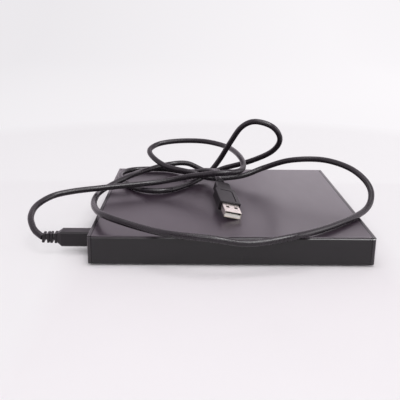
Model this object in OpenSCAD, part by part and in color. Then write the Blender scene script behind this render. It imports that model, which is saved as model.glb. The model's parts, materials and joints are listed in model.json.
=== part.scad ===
// External disc drive: a flat box holding a slim tray loader, with its USB lead plugged in.
// Millimetres. +Z up, the tray opens towards +X, origin under the middle of the box.

/* [Box] */
// Length of the box, along the tray's travel
box_l = 183; // [178:1:200]
// Width of the box
box_w = 179; // [170:1:200]
// Height of the box over its feet
box_h = 20; // [19.6:0.1:22]
// How far the feet stand out below the base
foot_h = 1; // [0.6:0.1:1.5]
// Thickness of the moulded walls and floor
wall = 1.8; // [1.6:0.1:2]
// Thickness of the top cover
lid_t = 1.6; // [1.2:0.1:1.8]
// Height of the cover above the side walls
step_h = 0.8; // [0.6:0.1:1]
// Distance of the cover in from the side walls' faces
step_in = 1; // [0.9:0.1:1.2]
// Thickness of the two end panels
panel_t = 2.4; // [2:0.1:2.6]
// Width of the seams between the shells
seam = 0.25; // [0.15:0.05:0.35]
// Radius of the box's lower and upright edges
edge_r = 1.6; // [1:0.1:2]
// Chamfer along the top of the side walls
edge_c = 0.6; // [0.4:0.1:0.7]
// Radius of the end panels' top edges
end_r = 0.9; // [0.5:0.1:1]
// Radius of a rubber foot
foot_r = 6; // [5:0.5:7]
// Distance of the case screws in from the box's sides
screw_in = 11.5; // [10.5:0.5:12.5]
// Radius of a case screw's shank
case_screw_r = 1.2; // [1:0.1:1.3]

/* [Loader] */
// Width of the slim loader
drive_w = 128; // [127:0.5:130]
// Length of the loader behind its bezel
drive_l = 126; // [125:0.5:127]
// Height of the loader
drive_h = 12.7; // [12.5:0.1:12.9]
// Gap under the loader, above the box's floor
drive_gap = 0.6; // [0.4:0.1:0.9]
// Thickness of the loader's sheet metal
sheet = 0.6; // [0.5:0.1:0.6]
// Thickness of the bezel
bezel_t = 4.2; // [3.8:0.1:4.6]
// Gap round the bezel in the end panel
bezel_gap = 0.35; // [0.25:0.05:0.5]
// Running clearance of the telescopic rails
rail_gap = 0.2; // [0.15:0.05:0.25]
// Thickness of a rail's metal
rail_t = 0.8; // [0.7:0.1:0.8]
// Length of the fixed and the sliding rails
rail_l = 110; // [100:2:114]
// Radius of the disc recess in the tray
recess_r = 60.6; // [60.2:0.1:60.8]
// Thickness of the disc that the claws hold
disc_t = 1.2; // [1.1:0.05:1.2]
// Radius of the hub that centres the disc
hub_r = 7.45; // [7.4:0.01:7.48]
// Direction of the laser sled's travel, in degrees
sled_turn = -45; // [-48:1:-42]
// Radius of the guide rods
rod_r = 1; // [0.8:0.1:1.1]
// Travel of the laser sled
sled_run = 34; // [30:1:34]
// Gap of a rod or shaft in its bore
run_gap = 0.05; // [0.02:0.01:0.08]

/* [Lead] */
// Diameter of the cord
cord_d = 4.4; // [4:0.1:4.8]
// Width of the grip on the plug in the box
grip_b = 10.2; // [9.6:0.1:11]
// Length of that grip
grip_b_l = 20; // [18:0.5:22]
// Width of the free plug's grip
grip_a_w = 15.2; // [15:0.1:16.4]
// Thickness of the free plug's grip
grip_a_h = 7.4; // [7.2:0.1:8]
// Length of the free plug's metal shell outside its grip
shell_a_l = 12; // [11.5:0.25:13]

/* [Hidden] */
$fn = 40;
eps = 0.01;

// Levels of the box
floor_z = foot_h + wall;
lid_z = box_h - lid_t;
shell_x = box_l / 2 - panel_t - seam;
inner_y = box_w / 2 - wall;
lid_y = box_w / 2 - step_in;
corner_x = box_l / 2 - screw_in;
corner_y = box_w / 2 - screw_in;
foot_step = 11;
skirt_t = 1.2;
skirt_h = 4;
rim_w = 12.7;
fit = 0.1;
boss_r = 3.2;
boss_top = foot_h + 8;

// Levels and ends of the loader
dz = floor_z + drive_gap;
bezel_x = box_l / 2 - 0.2;
deck_x = bezel_x - bezel_t;
front_x = deck_x - 0.3;
back_x = front_x - drive_l;
half_w = drive_w / 2;
in_y = half_w - sheet;
lid_under = dz + drive_h - sheet;
pan_top = dz + sheet;
flange_top = dz + 5.6;

// Rails, from the outside in
outer_y = in_y;
outer_web = outer_y - rail_t - 0.5;
mid_web = outer_web - rail_gap;
mid_in = mid_web - rail_t;
runner_out = mid_in - rail_gap;
runner_in = runner_out - 2.1;
tray_side = runner_in;
rail_z = dz + 4.8;
outer_half = 3.4;
mid_half = outer_half - rail_t - rail_gap;
runner_half = mid_half - rail_t - rail_gap;
rail_front = front_x - 7;

// The tray's levels
deck_low = rail_z + outer_half + rail_gap;
deck_top = lid_under - 0.5;
recess_z = deck_low + 1;
deck_half = in_y - 0.6;
tray_back = back_x + sheet + 0.7;
disc_x = deck_x - recess_r - 1.9;
plate_z = pan_top + 1.2;
plate_top = plate_z + 0.5;
side_t = 1.2;

// The laser unit, in its own frame: u along the sled's travel from the spindle, v across it
rod_z = plate_top + 2.5;
rod_main = -13;
rod_sub = 10;
screw_v = 14.4;
screw_r = 1.2;
frame_low = plate_top + 0.5;
frame_high = frame_low + 4.4;
rod_near = 12.8;
rod_far = 65.8;
sled_at = 24;
sled_back = 8;
sled_fore = 6.6;
base_z = plate_top + 0.2;
rotor_r = 11;
flange_r = 14.4;
seat_z = recess_z + 0.3;
flange_low = seat_z - 0.9;
pad_t = 0.3;
shaft_r = 1;
hub_top = lid_under - 0.35;
claw_low = seat_z + disc_t + 0.05;
cone_from = claw_low + 0.1;
claw_top = hub_top - 0.3;
claw_out = 0.45;
claw_w = 2.6;
holder_half = 3.4;
holder_low = rod_z + 0.9;
holder_high = rod_z + 3.5;

// Latch, at the tray's rear left corner
post_x = back_x + sheet + 4.6;
post_y = 40;
post_r = 0.9;
hook_x = post_x + 14;
hook_y = 44;
hook_z = plate_top + 0.4;
hook_t = 1.6;
hook_open = 12;
tail = 7;
pull = 1.5;
pull_z = hook_z + hook_t + 1;

// Ejector, at the tray's rear
push_y = 12;
push_z = plate_top + 2.7;
push_l = 26;

// Boards
board_z = floor_z + 1;
board_t = 1.2;
board_top = board_z + board_t;
board_x0 = -box_l / 2 + panel_t + 3.6;
board_x1 = back_x - 5.3;
board_mid = (board_x0 + board_x1) / 2;
board_y0 = -corner_y + boss_r + 0.3;
board_y1 = -13;
post_in = 4;
usb_y = -corner_y + 12.7;
usb_z = board_top + 5.5;
usb_half_w = 6;
usb_half_h = 5.5;
usb_back = -box_l / 2 + 16.5;
pin_z = board_top + 1.1;

// Button, light and emergency hole in the bezel
bezel_mid = dz + drive_h / 2;
button_y = -40;
light_y = -29;
pin_y = -22;
button_w = 12;
button_h = 4;

// Plug in the box, along -X
plug_x = -box_l / 2 - 0.3;
relief_b_x = plug_x - grip_b_l - 3;
relief_b_l = 10.2;

// The cord, from the plug in the box to the free plug
cord_r = cord_d / 2;
cord_route = [
    [-125, -65.3, 10.5], [-128.2, -63.5, 12], [-132.3, -59.5, 14.4], [-136.4, -49.2, 19.2],
    [-136, -33.3, 22.4], [-127.6, -19.3, 25.4], [-113.9, -12, 27], [-96.6, -6.3, 27.8],
    [-75.8, 2.4, 27.9], [-51.2, 10.9, 28.6], [-27.8, 9.3, 33.5], [-7.9, -1.7, 38.9],
    [7, 1.2, 39.4], [13.6, 10.6, 39.9], [14.3, 25.7, 43], [9.8, 47.6, 45.2], [2.2, 68.2, 45.6],
    [-14.8, 82.5, 46.6], [-36.3, 88, 45.8], [-54.3, 85.6, 43.7], [-62.6, 75.1, 40.4],
    [-59.1, 61.9, 36.6], [-46.6, 48.7, 31.8], [-26.6, 37.9, 29.6], [-9.5, 32, 26.4],
    [14.4, 32.9, 28.2], [33.5, 36.4, 34.5], [52.8, 27.1, 42.9], [76.5, 18.1, 45.6],
    [93.3, -0.8, 43.8], [102.4, -17.4, 37.5], [103.3, -30.2, 30], [95, -43.7, 23.2],
    [69.3, -71.3, 22.6], [41.5, -92.7, 22.6], [10.9, -100.2, 20], [-12.9, -103.1, 23.9],
    [-36.9, -98, 24.6], [-56.8, -85.7, 24.4], [-79.2, -74.3, 27.6], [-90.3, -54.9, 26.4],
    [-96.3, -24.8, 24], [-95, 7.6, 22.5], [-77, 30, 27.7], [-63.5, 56.4, 26.8],
    [-46.5, 73.3, 27.7], [-29.6, 75.7, 28.1], [-11.5, 68.5, 22.5], [4, 59.1, 28.9],
    [23.4, 47.3, 37.5], [39.2, 36.8, 48], [43.9, 27.6, 59.7], [37.3, 23.6, 70.2], [23.5, 25.9, 74],
    [13.5, 32.3, 68.4], [5.3, 39.4, 54.5], [-2.3, 46.6, 39.3], [-11, 47.4, 27.5],
    [-20.5, 39.6, 23.2], [-31.8, 22.2, 22.5], [-47, 7.6, 22.5], [-63.4, 8.8, 22.7],
    [-77, 25, 22.4], [-86.1, 53.3, 22.9], [-78.4, 73, 22.6], [-53.5, 77.6, 22.5],
    [-37.2, 69.1, 22.8], [-29.9, 57.2, 24.8], [-23, 47.9, 27.4], [-15.4, 41, 30.4],
    [-8.8, 30.5, 32.7], [-5.7, 16.9, 35.8], [-6, 3, 34.7], [-5.1, -3.3, 33.5]];
cord_last = len(cord_route) - 1;
ring_gap = 28;
plug_a_roll = 13.8;
relief_a_l = 8;
grip_a_l = 21;
neck_a_l = 13;
waist_in = 1.9;

// A box between two corners
module block(low, high) {
    translate(low)
        cube([high.x - low.x, high.y - low.y, high.z - low.z]);
}

// An upright rod with a length
module rod(p, r, h) {
    translate(p)
        cylinder(r = r, h = h);
}

// A rod along X
module rod_x(p, r, l) {
    translate(p)
        rotate([0, 90, 0])
            cylinder(r = r, h = l);
}

// A rod along Y
module rod_y(p, r, l) {
    translate(p)
        rotate([-90, 0, 0])
            cylinder(r = r, h = l);
}

// Copies mirrored across the middle plane of the box
module both_sides() {
    for (s = [0, 1])
        mirror([0, s, 0])
            children();
}

// One copy in each corner
module corners(x, y) {
    for (sx = [-1, 1], sy = [-1, 1])
        translate([sx * x, sy * y, 0])
            children();
}

// Lower part of the box's cross-section, with round corners
module section(w, h) {
    translate([-w / 2, edge_r])
        square([w, h - edge_r]);
    translate([-w / 2 + edge_r, 0])
        square([w - 2 * edge_r, edge_r + eps]);
    for (s = [-1, 1])
        translate([s * (w / 2 - edge_r), edge_r])
            circle(edge_r);
}

// Cross-section along the box: round upper corners
module long_section(w, h) {
    section(w, h - end_r);
    translate([-w / 2 + end_r, 0])
        square([w - 2 * end_r, h]);
    for (s = [-1, 1])
        translate([s * (w / 2 - end_r), h - end_r])
            circle(end_r);
}

// Cross-section across the box: chamfered walls with the cover standing over them
module cross_section(w, h) {
    ledge = h - step_h;
    section(w, ledge - edge_c);
    polygon([[-w / 2, edge_r], [w / 2, edge_r], [w / 2, ledge - edge_c],
        [w / 2 - edge_c, ledge], [-w / 2 + edge_c, ledge], [-w / 2, ledge - edge_c]]);
    polygon([[-w / 2 + step_in, edge_r], [w / 2 - step_in, edge_r], [w / 2 - step_in, h - 0.2],
        [w / 2 - step_in - 0.2, h], [-w / 2 + step_in + 0.2, h], [-w / 2 + step_in, h - 0.2]]);
}

// The outside of the whole box, from which its shells are cut
module box_form() {
    h = box_h - foot_h;
    intersection() {
        translate([0, box_w / 2 + 1, foot_h])
            rotate([90, 0, 0])
                linear_extrude(box_w + 2)
                    long_section(box_l, h);
        translate([-box_l / 2 - 1, 0, foot_h])
            rotate([90, 0, 90])
                linear_extrude(box_l + 2)
                    cross_section(box_w, h);
        translate([0, 0, foot_h - 1])
            linear_extrude(h + 2)
                plan(box_l, box_w, edge_r);
    }
}

// A rectangle with round corners
module plan(l, w, r) {
    square([l - 2 * r, w], center = true);
    square([l, w - 2 * r], center = true);
    for (sx = [-1, 1], sy = [-1, 1])
        translate([sx * (l / 2 - r), sy * (w / 2 - r)])
            circle(r);
}

// Box

module base_shell() {
    color([0.21, 0.20, 0.215])
    difference() {
        union() {
            difference() {
                intersection() {
                    box_form();
                    block([-shell_x, -box_w, 0], [shell_x, box_w, box_h + 1]);
                }
                block([-shell_x - 1, -inner_y, floor_z], [shell_x + 1, inner_y, box_h + 1]);
                block([-shell_x - 1, -lid_y - fit, lid_z - fit], [shell_x + 1, lid_y + fit,
                    box_h + 1]);
            }
            corners(corner_x, corner_y)
                rod([0, 0, foot_h + eps], boss_r, boss_top - foot_h - eps);
            board_posts()
                rod([0, 0, floor_z - eps], 2.2, board_z - floor_z + eps);
            bracket_posts()
                rod([0, 0, floor_z - eps], 2.6, 2 + eps);
            ribs();
        }
        corners(corner_x, corner_y) {
            rod([0, 0, 0], case_screw_r + fit, box_h);
            rod([0, 0, 0], 2.6, foot_h + 3.2);
        }
        corners(corner_x - foot_step, corner_y)
            rod([0, 0, foot_h - 1], foot_r + fit, 1.6);
        board_posts()
            rod([0, 0, floor_z - 1], 0.85, 8);
        bracket_posts()
            rod([0, 0, floor_z - 1], 0.85, 8);
        block([6.3, -box_w / 2 - 1, foot_h + 2], [6.7, -box_w / 2 + 0.3, foot_h + 5.5]);
        translate([0, 0, foot_h - 1])
            linear_extrude(1.3)
                plan(76, 46, 2);
    }
}

// Low ribs on the floor in front of and behind the loader
module ribs() {
    both_sides()
        for (x = [-60 : 40 : 60])
            block([x, half_w + 14, floor_z - eps], [x + 1, inner_y + eps, floor_z + 2.5]);
}

// Places of the bridge board's posts
module board_posts() {
    left = board_x0 + post_in;
    right = board_x1 - post_in;
    for (p = [[left, usb_y + usb_half_w + 2.6], [right, board_y0 + 4.5], [left, board_y1 - 5],
        [right, board_y1 - 5]])
        translate([p.x, p.y, 0])
            children();
}

// Places of the brackets' posts
module bracket_posts() {
    for (x = [back_x + 14, front_x - 20], s = [-1, 1])
        translate([x, s * (half_w + 6.5), 0])
            children();
}

module top_cover() {
    color([0.47, 0.445, 0.47])
    union() {
        intersection() {
            box_form();
            block([-shell_x, -lid_y, lid_z], [shell_x, lid_y, box_h + 1]);
        }
        both_sides()
            block([-shell_x, inner_y - fit - skirt_t, lid_z - skirt_h],
                [shell_x, inner_y - fit, lid_z + eps]);
        difference() {
            corners(corner_x, corner_y)
                rod([0, 0, boss_top], boss_r, lid_z - boss_top + eps);
            corners(corner_x, corner_y)
                rod([0, 0, boss_top - 1], case_screw_r + run_gap, 8);
        }
    }
}

// Slab at one end of the box, with a rim that plugs into the shells
module end_panel(s) {
    intersection() {
        box_form();
        block([s > 0 ? box_l / 2 - panel_t : -box_l, -box_w, 0],
            [s > 0 ? box_l : -box_l / 2 + panel_t, box_w, box_h + 1]);
    }
    for (t = [-1, 1])
        translate([s * (box_l / 2 - panel_t), 0, 0])
            rim_side(s, t);
}

module rim_side(s, t) {
    rim_from = inner_y - rim_w;
    x0 = s > 0 ? -3 : -eps;
    x1 = s > 0 ? eps : 3;
    y0 = t > 0 ? rim_from : -inner_y + fit + skirt_t + fit;
    y1 = t > 0 ? inner_y - fit - skirt_t - fit : -rim_from;
    block([x0, y0, floor_z + fit], [x1, y1, floor_z + fit + 1.2]);
    block([x0, y0, lid_z - fit - 1.2], [x1, y1, lid_z - fit]);
}

module rear_panel() {
    color([0.20, 0.19, 0.205])
    difference() {
        end_panel(-1);
        block([-box_l, usb_y - usb_half_w - 0.2, usb_z - usb_half_h - 0.2],
            [-box_l / 2 + panel_t + 4, usb_y + usb_half_w + 0.2, usb_z + usb_half_h + 0.2]);
    }
}

module front_panel() {
    color([0.20, 0.19, 0.205])
    difference() {
        end_panel(1);
        block([box_l / 2 - panel_t - 5, -half_w - bezel_gap, dz - bezel_gap],
            [box_l, half_w + bezel_gap, dz + drive_h + bezel_gap]);
    }
}

module rubber_feet() {
    color([0.08, 0.08, 0.085])
    corners(corner_x - foot_step, corner_y)
        union() {
            rod([0, 0, 0.4], foot_r, foot_h + 0.2);
            cylinder(r1 = foot_r - 0.4, r2 = foot_r, h = 0.4 + eps);
        }
}

// A cross-head screw pointing up from its head, or down when flipped
module screw(head_r, head_h, r, l) {
    difference() {
        union() {
            cylinder(r = head_r, h = head_h);
            translate([0, 0, head_h - eps])
                cylinder(r = r, h = l + eps);
        }
        translate([-0.2, -head_r * 0.6, -eps])
            cube([0.4, head_r * 1.2, head_h * 0.5]);
        translate([-head_r * 0.6, -0.2, -eps])
            cube([head_r * 1.2, 0.4, head_h * 0.5]);
    }
}

module case_screws() {
    color([0.35, 0.35, 0.36])
    corners(corner_x, corner_y)
        translate([0, 0, foot_h + 1.6])
            screw(2.3, 1.6, case_screw_r, boss_top + 6 - foot_h - 3.2);
}

// Bridge electronics

module bridge_board() {
    color([0.05, 0.28, 0.16])
    difference() {
        block([board_x0, board_y0, board_z], [board_x1, board_y1, board_top]);
        board_posts()
            rod([0, 0, board_z - 1], 0.95, 4);
    }
}

module bridge_parts() {
    color([0.09, 0.09, 0.1])
    translate([board_mid, board_y1, board_top]) {
        block([-5, -31, 0], [5, -21, 1.2]);
        block([-5, -18, 0], [0, -14, 1]);
        block([-3, -12, 0], [3, -8, 1.4]);
    }
    color([0.7, 0.7, 0.68]) {
        block([board_x0 + 1.5, board_y1 - 32.5, board_top], [board_x0 + 5, board_y1 - 22.5,
            board_top + 3.2]);
        for (y = [-3, 3.5])
            rod([board_mid + 2.5, usb_y + y, board_top], 2.6, 5.4);
    }
}

module usb_socket_shell() {
    color([0.72, 0.72, 0.7])
    difference() {
        block([-box_l / 2 + 0.3, usb_y - usb_half_w, usb_z - usb_half_h],
            [usb_back, usb_y + usb_half_w, usb_z + usb_half_h]);
        block([-box_l / 2 - 1, usb_y - usb_half_w + 0.4, usb_z - usb_half_h + 0.4],
            [usb_back - 0.4, usb_y + usb_half_w - 0.4, usb_z + usb_half_h - 0.4]);
    }
}

module usb_socket_core() {
    front = -box_l / 2 + 0.8;
    color([0.85, 0.85, 0.82])
    union() {
        difference() {
            block([front, usb_y - usb_half_w + 0.4, usb_z - usb_half_h + 0.4],
                [usb_back - 0.4, usb_y + usb_half_w - 0.4, usb_z + usb_half_h - 0.4]);
            block([front - 1, usb_y - 4.5, usb_z - 4.15], [usb_back - 2, usb_y + 4.5, usb_z + 4.15]);
        }
        block([front + 2, usb_y - 2.8, usb_z - 1.6], [usb_back - 2 + eps, usb_y + 2.8, usb_z + 1.6]);
    }
}

module drive_connector() {
    color([0.12, 0.12, 0.13])
    difference() {
        block([back_x - 8.3, -57, board_top], [back_x - 0.15, -23, board_top + 5.4]);
        block([back_x - 3, -54, pin_z - 0.2], [back_x + 1, -26, pin_z + 2.2]);
    }
}

// Loader, fixed parts

module mounting_brackets() {
    color([0.66, 0.67, 0.68])
    difference() {
        both_sides()
            union() {
                block([back_x + 8, half_w, floor_z + 2], [front_x - 12, half_w + 0.8, dz + 9]);
                block([back_x + 8, half_w + 0.8 - eps, floor_z + 2],
                    [front_x - 12, half_w + 9.5, floor_z + 2.8]);
            }
        bracket_posts()
            rod([0, 0, floor_z], 0.95, 5);
        for (x = [back_x + 30, front_x - 36])
            rod_y([x, -box_w / 2, rail_z], 0.95, box_w);
    }
}

// Screws of the boards, brackets and loader, all alike
module inner_screws() {
    color([0.6, 0.6, 0.6]) {
        board_posts()
            translate([0, 0, board_top + 1])
                mirror([0, 0, 1])
                    screw(1.9, 1, 0.8, 2.6);
        bracket_posts()
            translate([0, 0, floor_z + 3.8])
                mirror([0, 0, 1])
                    screw(1.9, 1, 0.8, 2.6);
        both_sides()
            for (x = [back_x + 30, front_x - 36])
                translate([x, half_w + 1.8, rail_z])
                    rotate([90, 0, 0])
                        screw(1.9, 1, 0.8, 0.8 + sheet);
    }
}

module drive_pan() {
    color([0.72, 0.73, 0.74])
    difference() {
        union() {
            block([back_x, -half_w, dz], [front_x, half_w, pan_top]);
            both_sides()
                block([back_x, in_y, dz], [front_x, half_w, flange_top]);
            block([back_x, -in_y, dz], [back_x + sheet, in_y, lid_under - 0.2]);
            for (x = [back_x + 2.4, back_x + 9], y = [-54, -27])
                rod([x, y, pan_top - eps], 1.4, 0.9 + eps);
        }
        block([back_x - 1, -55, pan_top + 1.6], [back_x + 1, -25, pan_top + 7]);
        for (x = [back_x + 30, front_x - 36])
            rod_y([x, -box_w / 2, rail_z], 0.85, box_w);
        for (x = [-10 : 24 : 62])
            translate([x, 0, dz - 1])
                linear_extrude(1 + sheet / 2)
                    plan(14, 50, 3);
    }
}

module drive_lid() {
    color([0.76, 0.77, 0.78])
    union() {
        block([back_x, -half_w, lid_under], [front_x, half_w, dz + drive_h]);
        both_sides()
            block([back_x, in_y, flange_top + 0.2], [front_x, half_w, lid_under + eps]);
    }
}

module drive_board() {
    color([0.06, 0.25, 0.38])
    block([back_x + sheet + 0.2, -57, pan_top + 0.9], [back_x + 10.5, -22, pan_top + 1.7]);
}

module drive_board_parts() {
    z = pan_top + 1.7;
    color([0.15, 0.15, 0.16]) {
        block([back_x - 2.4, -53.5, pin_z], [back_x + 4, -26.5, pin_z + 2]);
        block([back_x + 2, -52, z], [back_x + 4, -28, pin_z + eps]);
        block([back_x + 8.2, -51, z], [back_x + 10.3, -37, z + 1.2]);
    }
}

// A fixed rail: a channel open towards the tray
module guide_rail() {
    color([0.80, 0.80, 0.79])
    difference() {
        block([rail_front - rail_l, mid_in - 0.7, rail_z - outer_half],
            [rail_front, outer_y, rail_z + outer_half]);
        block([rail_front - rail_l - 1, 0, rail_z - outer_half + rail_t],
            [rail_front + 1, outer_web, rail_z + outer_half - rail_t]);
        for (x = [back_x + 30, front_x - 36])
            rod_y([x, 0, rail_z], 0.85, box_w);
    }
}

module guide_rail_left() {
    guide_rail();
}

module guide_rail_right() {
    mirror([0, 1, 0])
        guide_rail();
}

module latch_post() {
    color([0.78, 0.78, 0.78])
    union() {
        rod([post_x, post_y, pan_top], post_r, hook_z + hook_t + 0.6 - pan_top);
        rod([post_x, post_y, pan_top], 1.8, 0.5);
    }
}

// Flat ribbon: along the pan, round a half turn and back under the tray
module flex_ribbon() {
    t = 0.15;
    low = pan_top + 0.05;
    bend = (plate_z - 0.05 - low) / 2;
    turn_x = disc_x + 35;
    color([0.75, 0.42, 0.16])
    translate([0, -50, 0])
        rotate([-90, 0, 0])
            linear_extrude(12) {
                translate([back_x + 10.8, -low - t])
                    square([turn_x - back_x - 10.8, t]);
                translate([-8, -low - 2 * bend])
                    square([turn_x + 8, t]);
                translate([turn_x - eps, -low - bend])
                    intersection() {
                        difference() {
                            circle(bend);
                            circle(bend - t);
                        }
                        translate([0, -bend - 1])
                            square([bend + 1, 2 * bend + 2]);
                    }
            }
}

// Sliding parts

// A middle rail: a smaller channel inside the fixed one
module slide_rail() {
    color([0.70, 0.70, 0.70])
    difference() {
        block([rail_front - rail_l + 2, runner_in + rail_gap, rail_z - mid_half],
            [rail_front + 2, mid_web, rail_z + mid_half]);
        block([rail_front - rail_l, 0, rail_z - mid_half + rail_t],
            [rail_front + 4, mid_in, rail_z + mid_half - rail_t]);
    }
}

module slide_rail_left() {
    slide_rail();
}

module slide_rail_right() {
    mirror([0, 1, 0])
        slide_rail();
}

module tray() {
    color([0.10, 0.10, 0.11])
    difference() {
        union() {
            difference() {
                block([tray_back, -deck_half, deck_low], [deck_x, deck_half, deck_top]);
                rod([disc_x, 0, recess_z], recess_r, 10);
                rod([disc_x, 0, recess_z - 0.35], 22, 10);
            }
            both_sides()
                tray_wall();
            block([deck_x - 1.6, -tray_side, plate_top], [deck_x, tray_side, deck_low + eps]);
            tray_posts();
            rod([hook_x, hook_y, plate_top], 1, deck_low - plate_top + eps);
        }
        laser_hole();
        block([deck_x - 2, button_y - 2.3, bezel_mid - 1.3], [deck_x + 1, light_y + 1.8,
            bezel_mid + 1.3]);
        rod_x([deck_x - 3, pin_y, bezel_mid], 0.9, 6);
        for (s = [-1, 1])
            translate([disc_x, s * recess_r, deck_low + 1])
                cylinder(r = 9, h = 12);
    }
}

// Wall under the tray's edge, with the runner that slides in the middle rail
module tray_wall() {
    block([tray_back + 4, tray_side - side_t, plate_top], [deck_x, tray_side, deck_low + eps]);
    block([rail_front - rail_l, tray_side - eps, rail_z - runner_half],
        [rail_front, runner_out, rail_z + runner_half]);
}

// Posts under the deck that carry the laser unit's rubber dampers
module tray_posts() {
    laser_frame()
        damper_places()
            rod([0, 0, frame_low + 0.4], 1, deck_low - frame_low - 0.4 + eps);
}

// Opening in the recess for the turntable and the lens
module laser_hole() {
    rod([disc_x, 0, 0], flange_r + 0.8, 40);
    laser_frame()
        union() {
            block([0, -9, 0], [58, 8, 40]);
            rod([58, -0.5, 0], 8.5, 40);
        }
}

// The laser unit's own frame: origin on the spindle, first axis along the sled's travel
module laser_frame() {
    translate([disc_x, 0, 0])
        rotate([0, 0, sled_turn])
            children();
}

module damper_places() {
    for (p = [[-12, -22.6], [-12, 22.6], [38, -22.6], [34, 22.6]])
        translate([p.x, p.y, 0])
            children();
}

module drive_bezel() {
    color([0.13, 0.13, 0.135])
    difference() {
        block([deck_x, -half_w, dz], [bezel_x, half_w, dz + drive_h]);
        block([deck_x - 1, button_y - button_w / 2 - 0.15, bezel_mid - button_h / 2 - 0.15],
            [bezel_x + 1, button_y + button_w / 2 + 0.15, bezel_mid + button_h / 2 + 0.15]);
        block([deck_x - 1, light_y - 1.6, bezel_mid - 0.8],
            [bezel_x + 1, light_y + 1.6, bezel_mid + 0.8]);
        rod_x([deck_x - 1, pin_y, bezel_mid], 0.7, bezel_t + 2);
        block([deck_x - 1, -half_w + 1.5, dz + drive_h - 0.6],
            [bezel_x - 1.2, half_w - 1.5, dz + drive_h + 1]);
    }
}

module tray_plate() {
    color([0.70, 0.71, 0.72])
    difference() {
        block([tray_back + 12, -tray_side, plate_z], [deck_x, tray_side, plate_top]);
        for (x = [disc_x - 20 : 22 : disc_x + 46])
            translate([x, 34, plate_z - 1])
                linear_extrude(3)
                    plan(12, 26, 3);
    }
}

module traverse_frame() {
    color([0.62, 0.63, 0.65])
    laser_frame()
        difference() {
            union() {
                translate([0, 0, frame_low])
                    linear_extrude(frame_high - frame_low)
                        polygon([[-17, -19], [61, -19], [68, -12], [68, 12], [61, 19], [-17, 19]]);
                damper_places()
                    rod([0, 0, frame_low + 0.6], 4.4, 1.6);
            }
            translate([0, 0, frame_low - 1])
                linear_extrude(12)
                    polygon([[14.8, -16.4], [60, -16.4], [64.8, -11.6], [64.8, 12.4], [60, 12.4],
                        [60, 16.4], [14.8, 16.4]]);
            rod([0, 0, frame_low - 1], rotor_r + 1, 12);
            block([1.6, 11.3, frame_low - 1], [14.9, 17.2, 20]);
            for (v = [rod_main, rod_sub])
                rod_x([rod_near, v, rod_z], rod_r + 0.02, rod_far - rod_near);
            rod_x([58, screw_v, rod_z], 0.8 + run_gap, 5);
            damper_places()
                rod([0, 0, frame_low - 1], 2.4, 12);
        }
}

module traverse_dampers() {
    color([0.25, 0.12, 0.14])
    laser_frame()
        damper_places()
            difference() {
                union() {
                    rod([0, 0, frame_low], 3.4, 0.6);
                    rod([0, 0, frame_low], 2.35, 3.4);
                    rod([0, 0, frame_low + 2.2], 3.4, 1.2);
                }
                rod([0, 0, frame_low - 1], 1.05, 12);
            }
}

module guide_rods() {
    color([0.85, 0.85, 0.86])
    laser_frame()
        for (v = [rod_main, rod_sub])
            rod_x([rod_near + 0.1, v, rod_z], rod_r, rod_far - rod_near - 0.2);
}

module feed_motor() {
    color([0.74, 0.74, 0.72])
    laser_frame()
        difference() {
            rod_x([2, screw_v, rod_z], 2.4, 9.4);
            rod_x([9, screw_v, rod_z], 0.8 + run_gap, 4);
        }
}

module feed_bracket() {
    color([0.6, 0.6, 0.62])
    laser_frame()
        difference() {
            block([11.4, 11.3, frame_low], [12.2, 17.2, frame_high - 0.4]);
            rod_x([10, screw_v, rod_z], 0.8 + run_gap, 4);
        }
}

module spindle_base() {
    color([0.68, 0.69, 0.70])
    laser_frame()
        union() {
            block([-14, -15, base_z], [12, 10.6, base_z + 0.3]);
            rod([0, 0, base_z], 9, 1.5);
            rod([0, 0, base_z], shaft_r, 5);
        }
}

module tray_board() {
    color([0.05, 0.28, 0.16])
    difference() {
        block([tray_back + 13, -52, plate_top + 0.1], [disc_x - 26, -2, plate_top + 0.9]);
        rod([disc_x, 0, 0], 30, 20);
    }
}

module latch_solenoid() {
    color([0.55, 0.33, 0.12])
    difference() {
        block([hook_x + 4.6, hook_y + tail - 2.6, plate_top], [hook_x + 17, hook_y + tail + 2.6,
            plate_top + 5]);
        rod_x([hook_x + 4, hook_y + tail, pull_z], 1.2 + run_gap, 9);
    }
}

// Drawn in by the coil, so that the latch is clear of its post
module solenoid_plunger() {
    color([0.5, 0.5, 0.52])
    translate([hook_x + pull, hook_y + tail, pull_z])
        union() {
            rod_x([-2, 0, 0], 1.2, 13);
            rod_x([-2.6, 0, 0], 2.4, 0.9);
        }
}

// Hook that holds the tray shut on its post, turned clear of it
module latch_hook() {
    reach = hook_x - post_x;
    drop = post_y - hook_y;
    color([0.86, 0.84, 0.78])
    translate([hook_x, hook_y, hook_z])
        rotate([0, 0, -hook_open])
            difference() {
                union() {
                    rod([0, 0, 0], 2.4, hook_t + 1);
                    linear_extrude(hook_t)
                        polygon([[0, -2.2], [1.6 - reach, drop + 1.4], [-1.1 - reach, drop + 1.2],
                            [-1.1 - reach, drop - 1.2], [-2.5 - reach, drop - 0.6],
                            [-2.5 - reach, drop + 3.4], [0, 2.2]]);
                    block([-1.2, 0, 0], [1.1, tail + 1.5, hook_t - 0.4]);
                }
                rod([0, 0, -1], 1 + run_gap, 30);
            }
}

module ejector_housing() {
    color([0.16, 0.16, 0.17])
    difference() {
        union() {
            block([tray_back + 13, push_y - 3.4, plate_top], [tray_back + 28, push_y + 3.4,
                push_z + 2.6]);
            block([tray_back + 14, push_y - 4.6, plate_top], [tray_back + 27, push_y + 4.6,
                plate_top + 0.8]);
        }
        rod_x([tray_back + 12, push_y, push_z], 1.2 + run_gap, 17);
    }
}

module eject_plunger() {
    color([0.84, 0.82, 0.76])
    union() {
        rod_x([back_x + sheet + 0.2, push_y, push_z], 2.2, 1.4);
        rod_x([back_x + sheet + 1.5, push_y, push_z], 1.2, push_l);
    }
}

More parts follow.
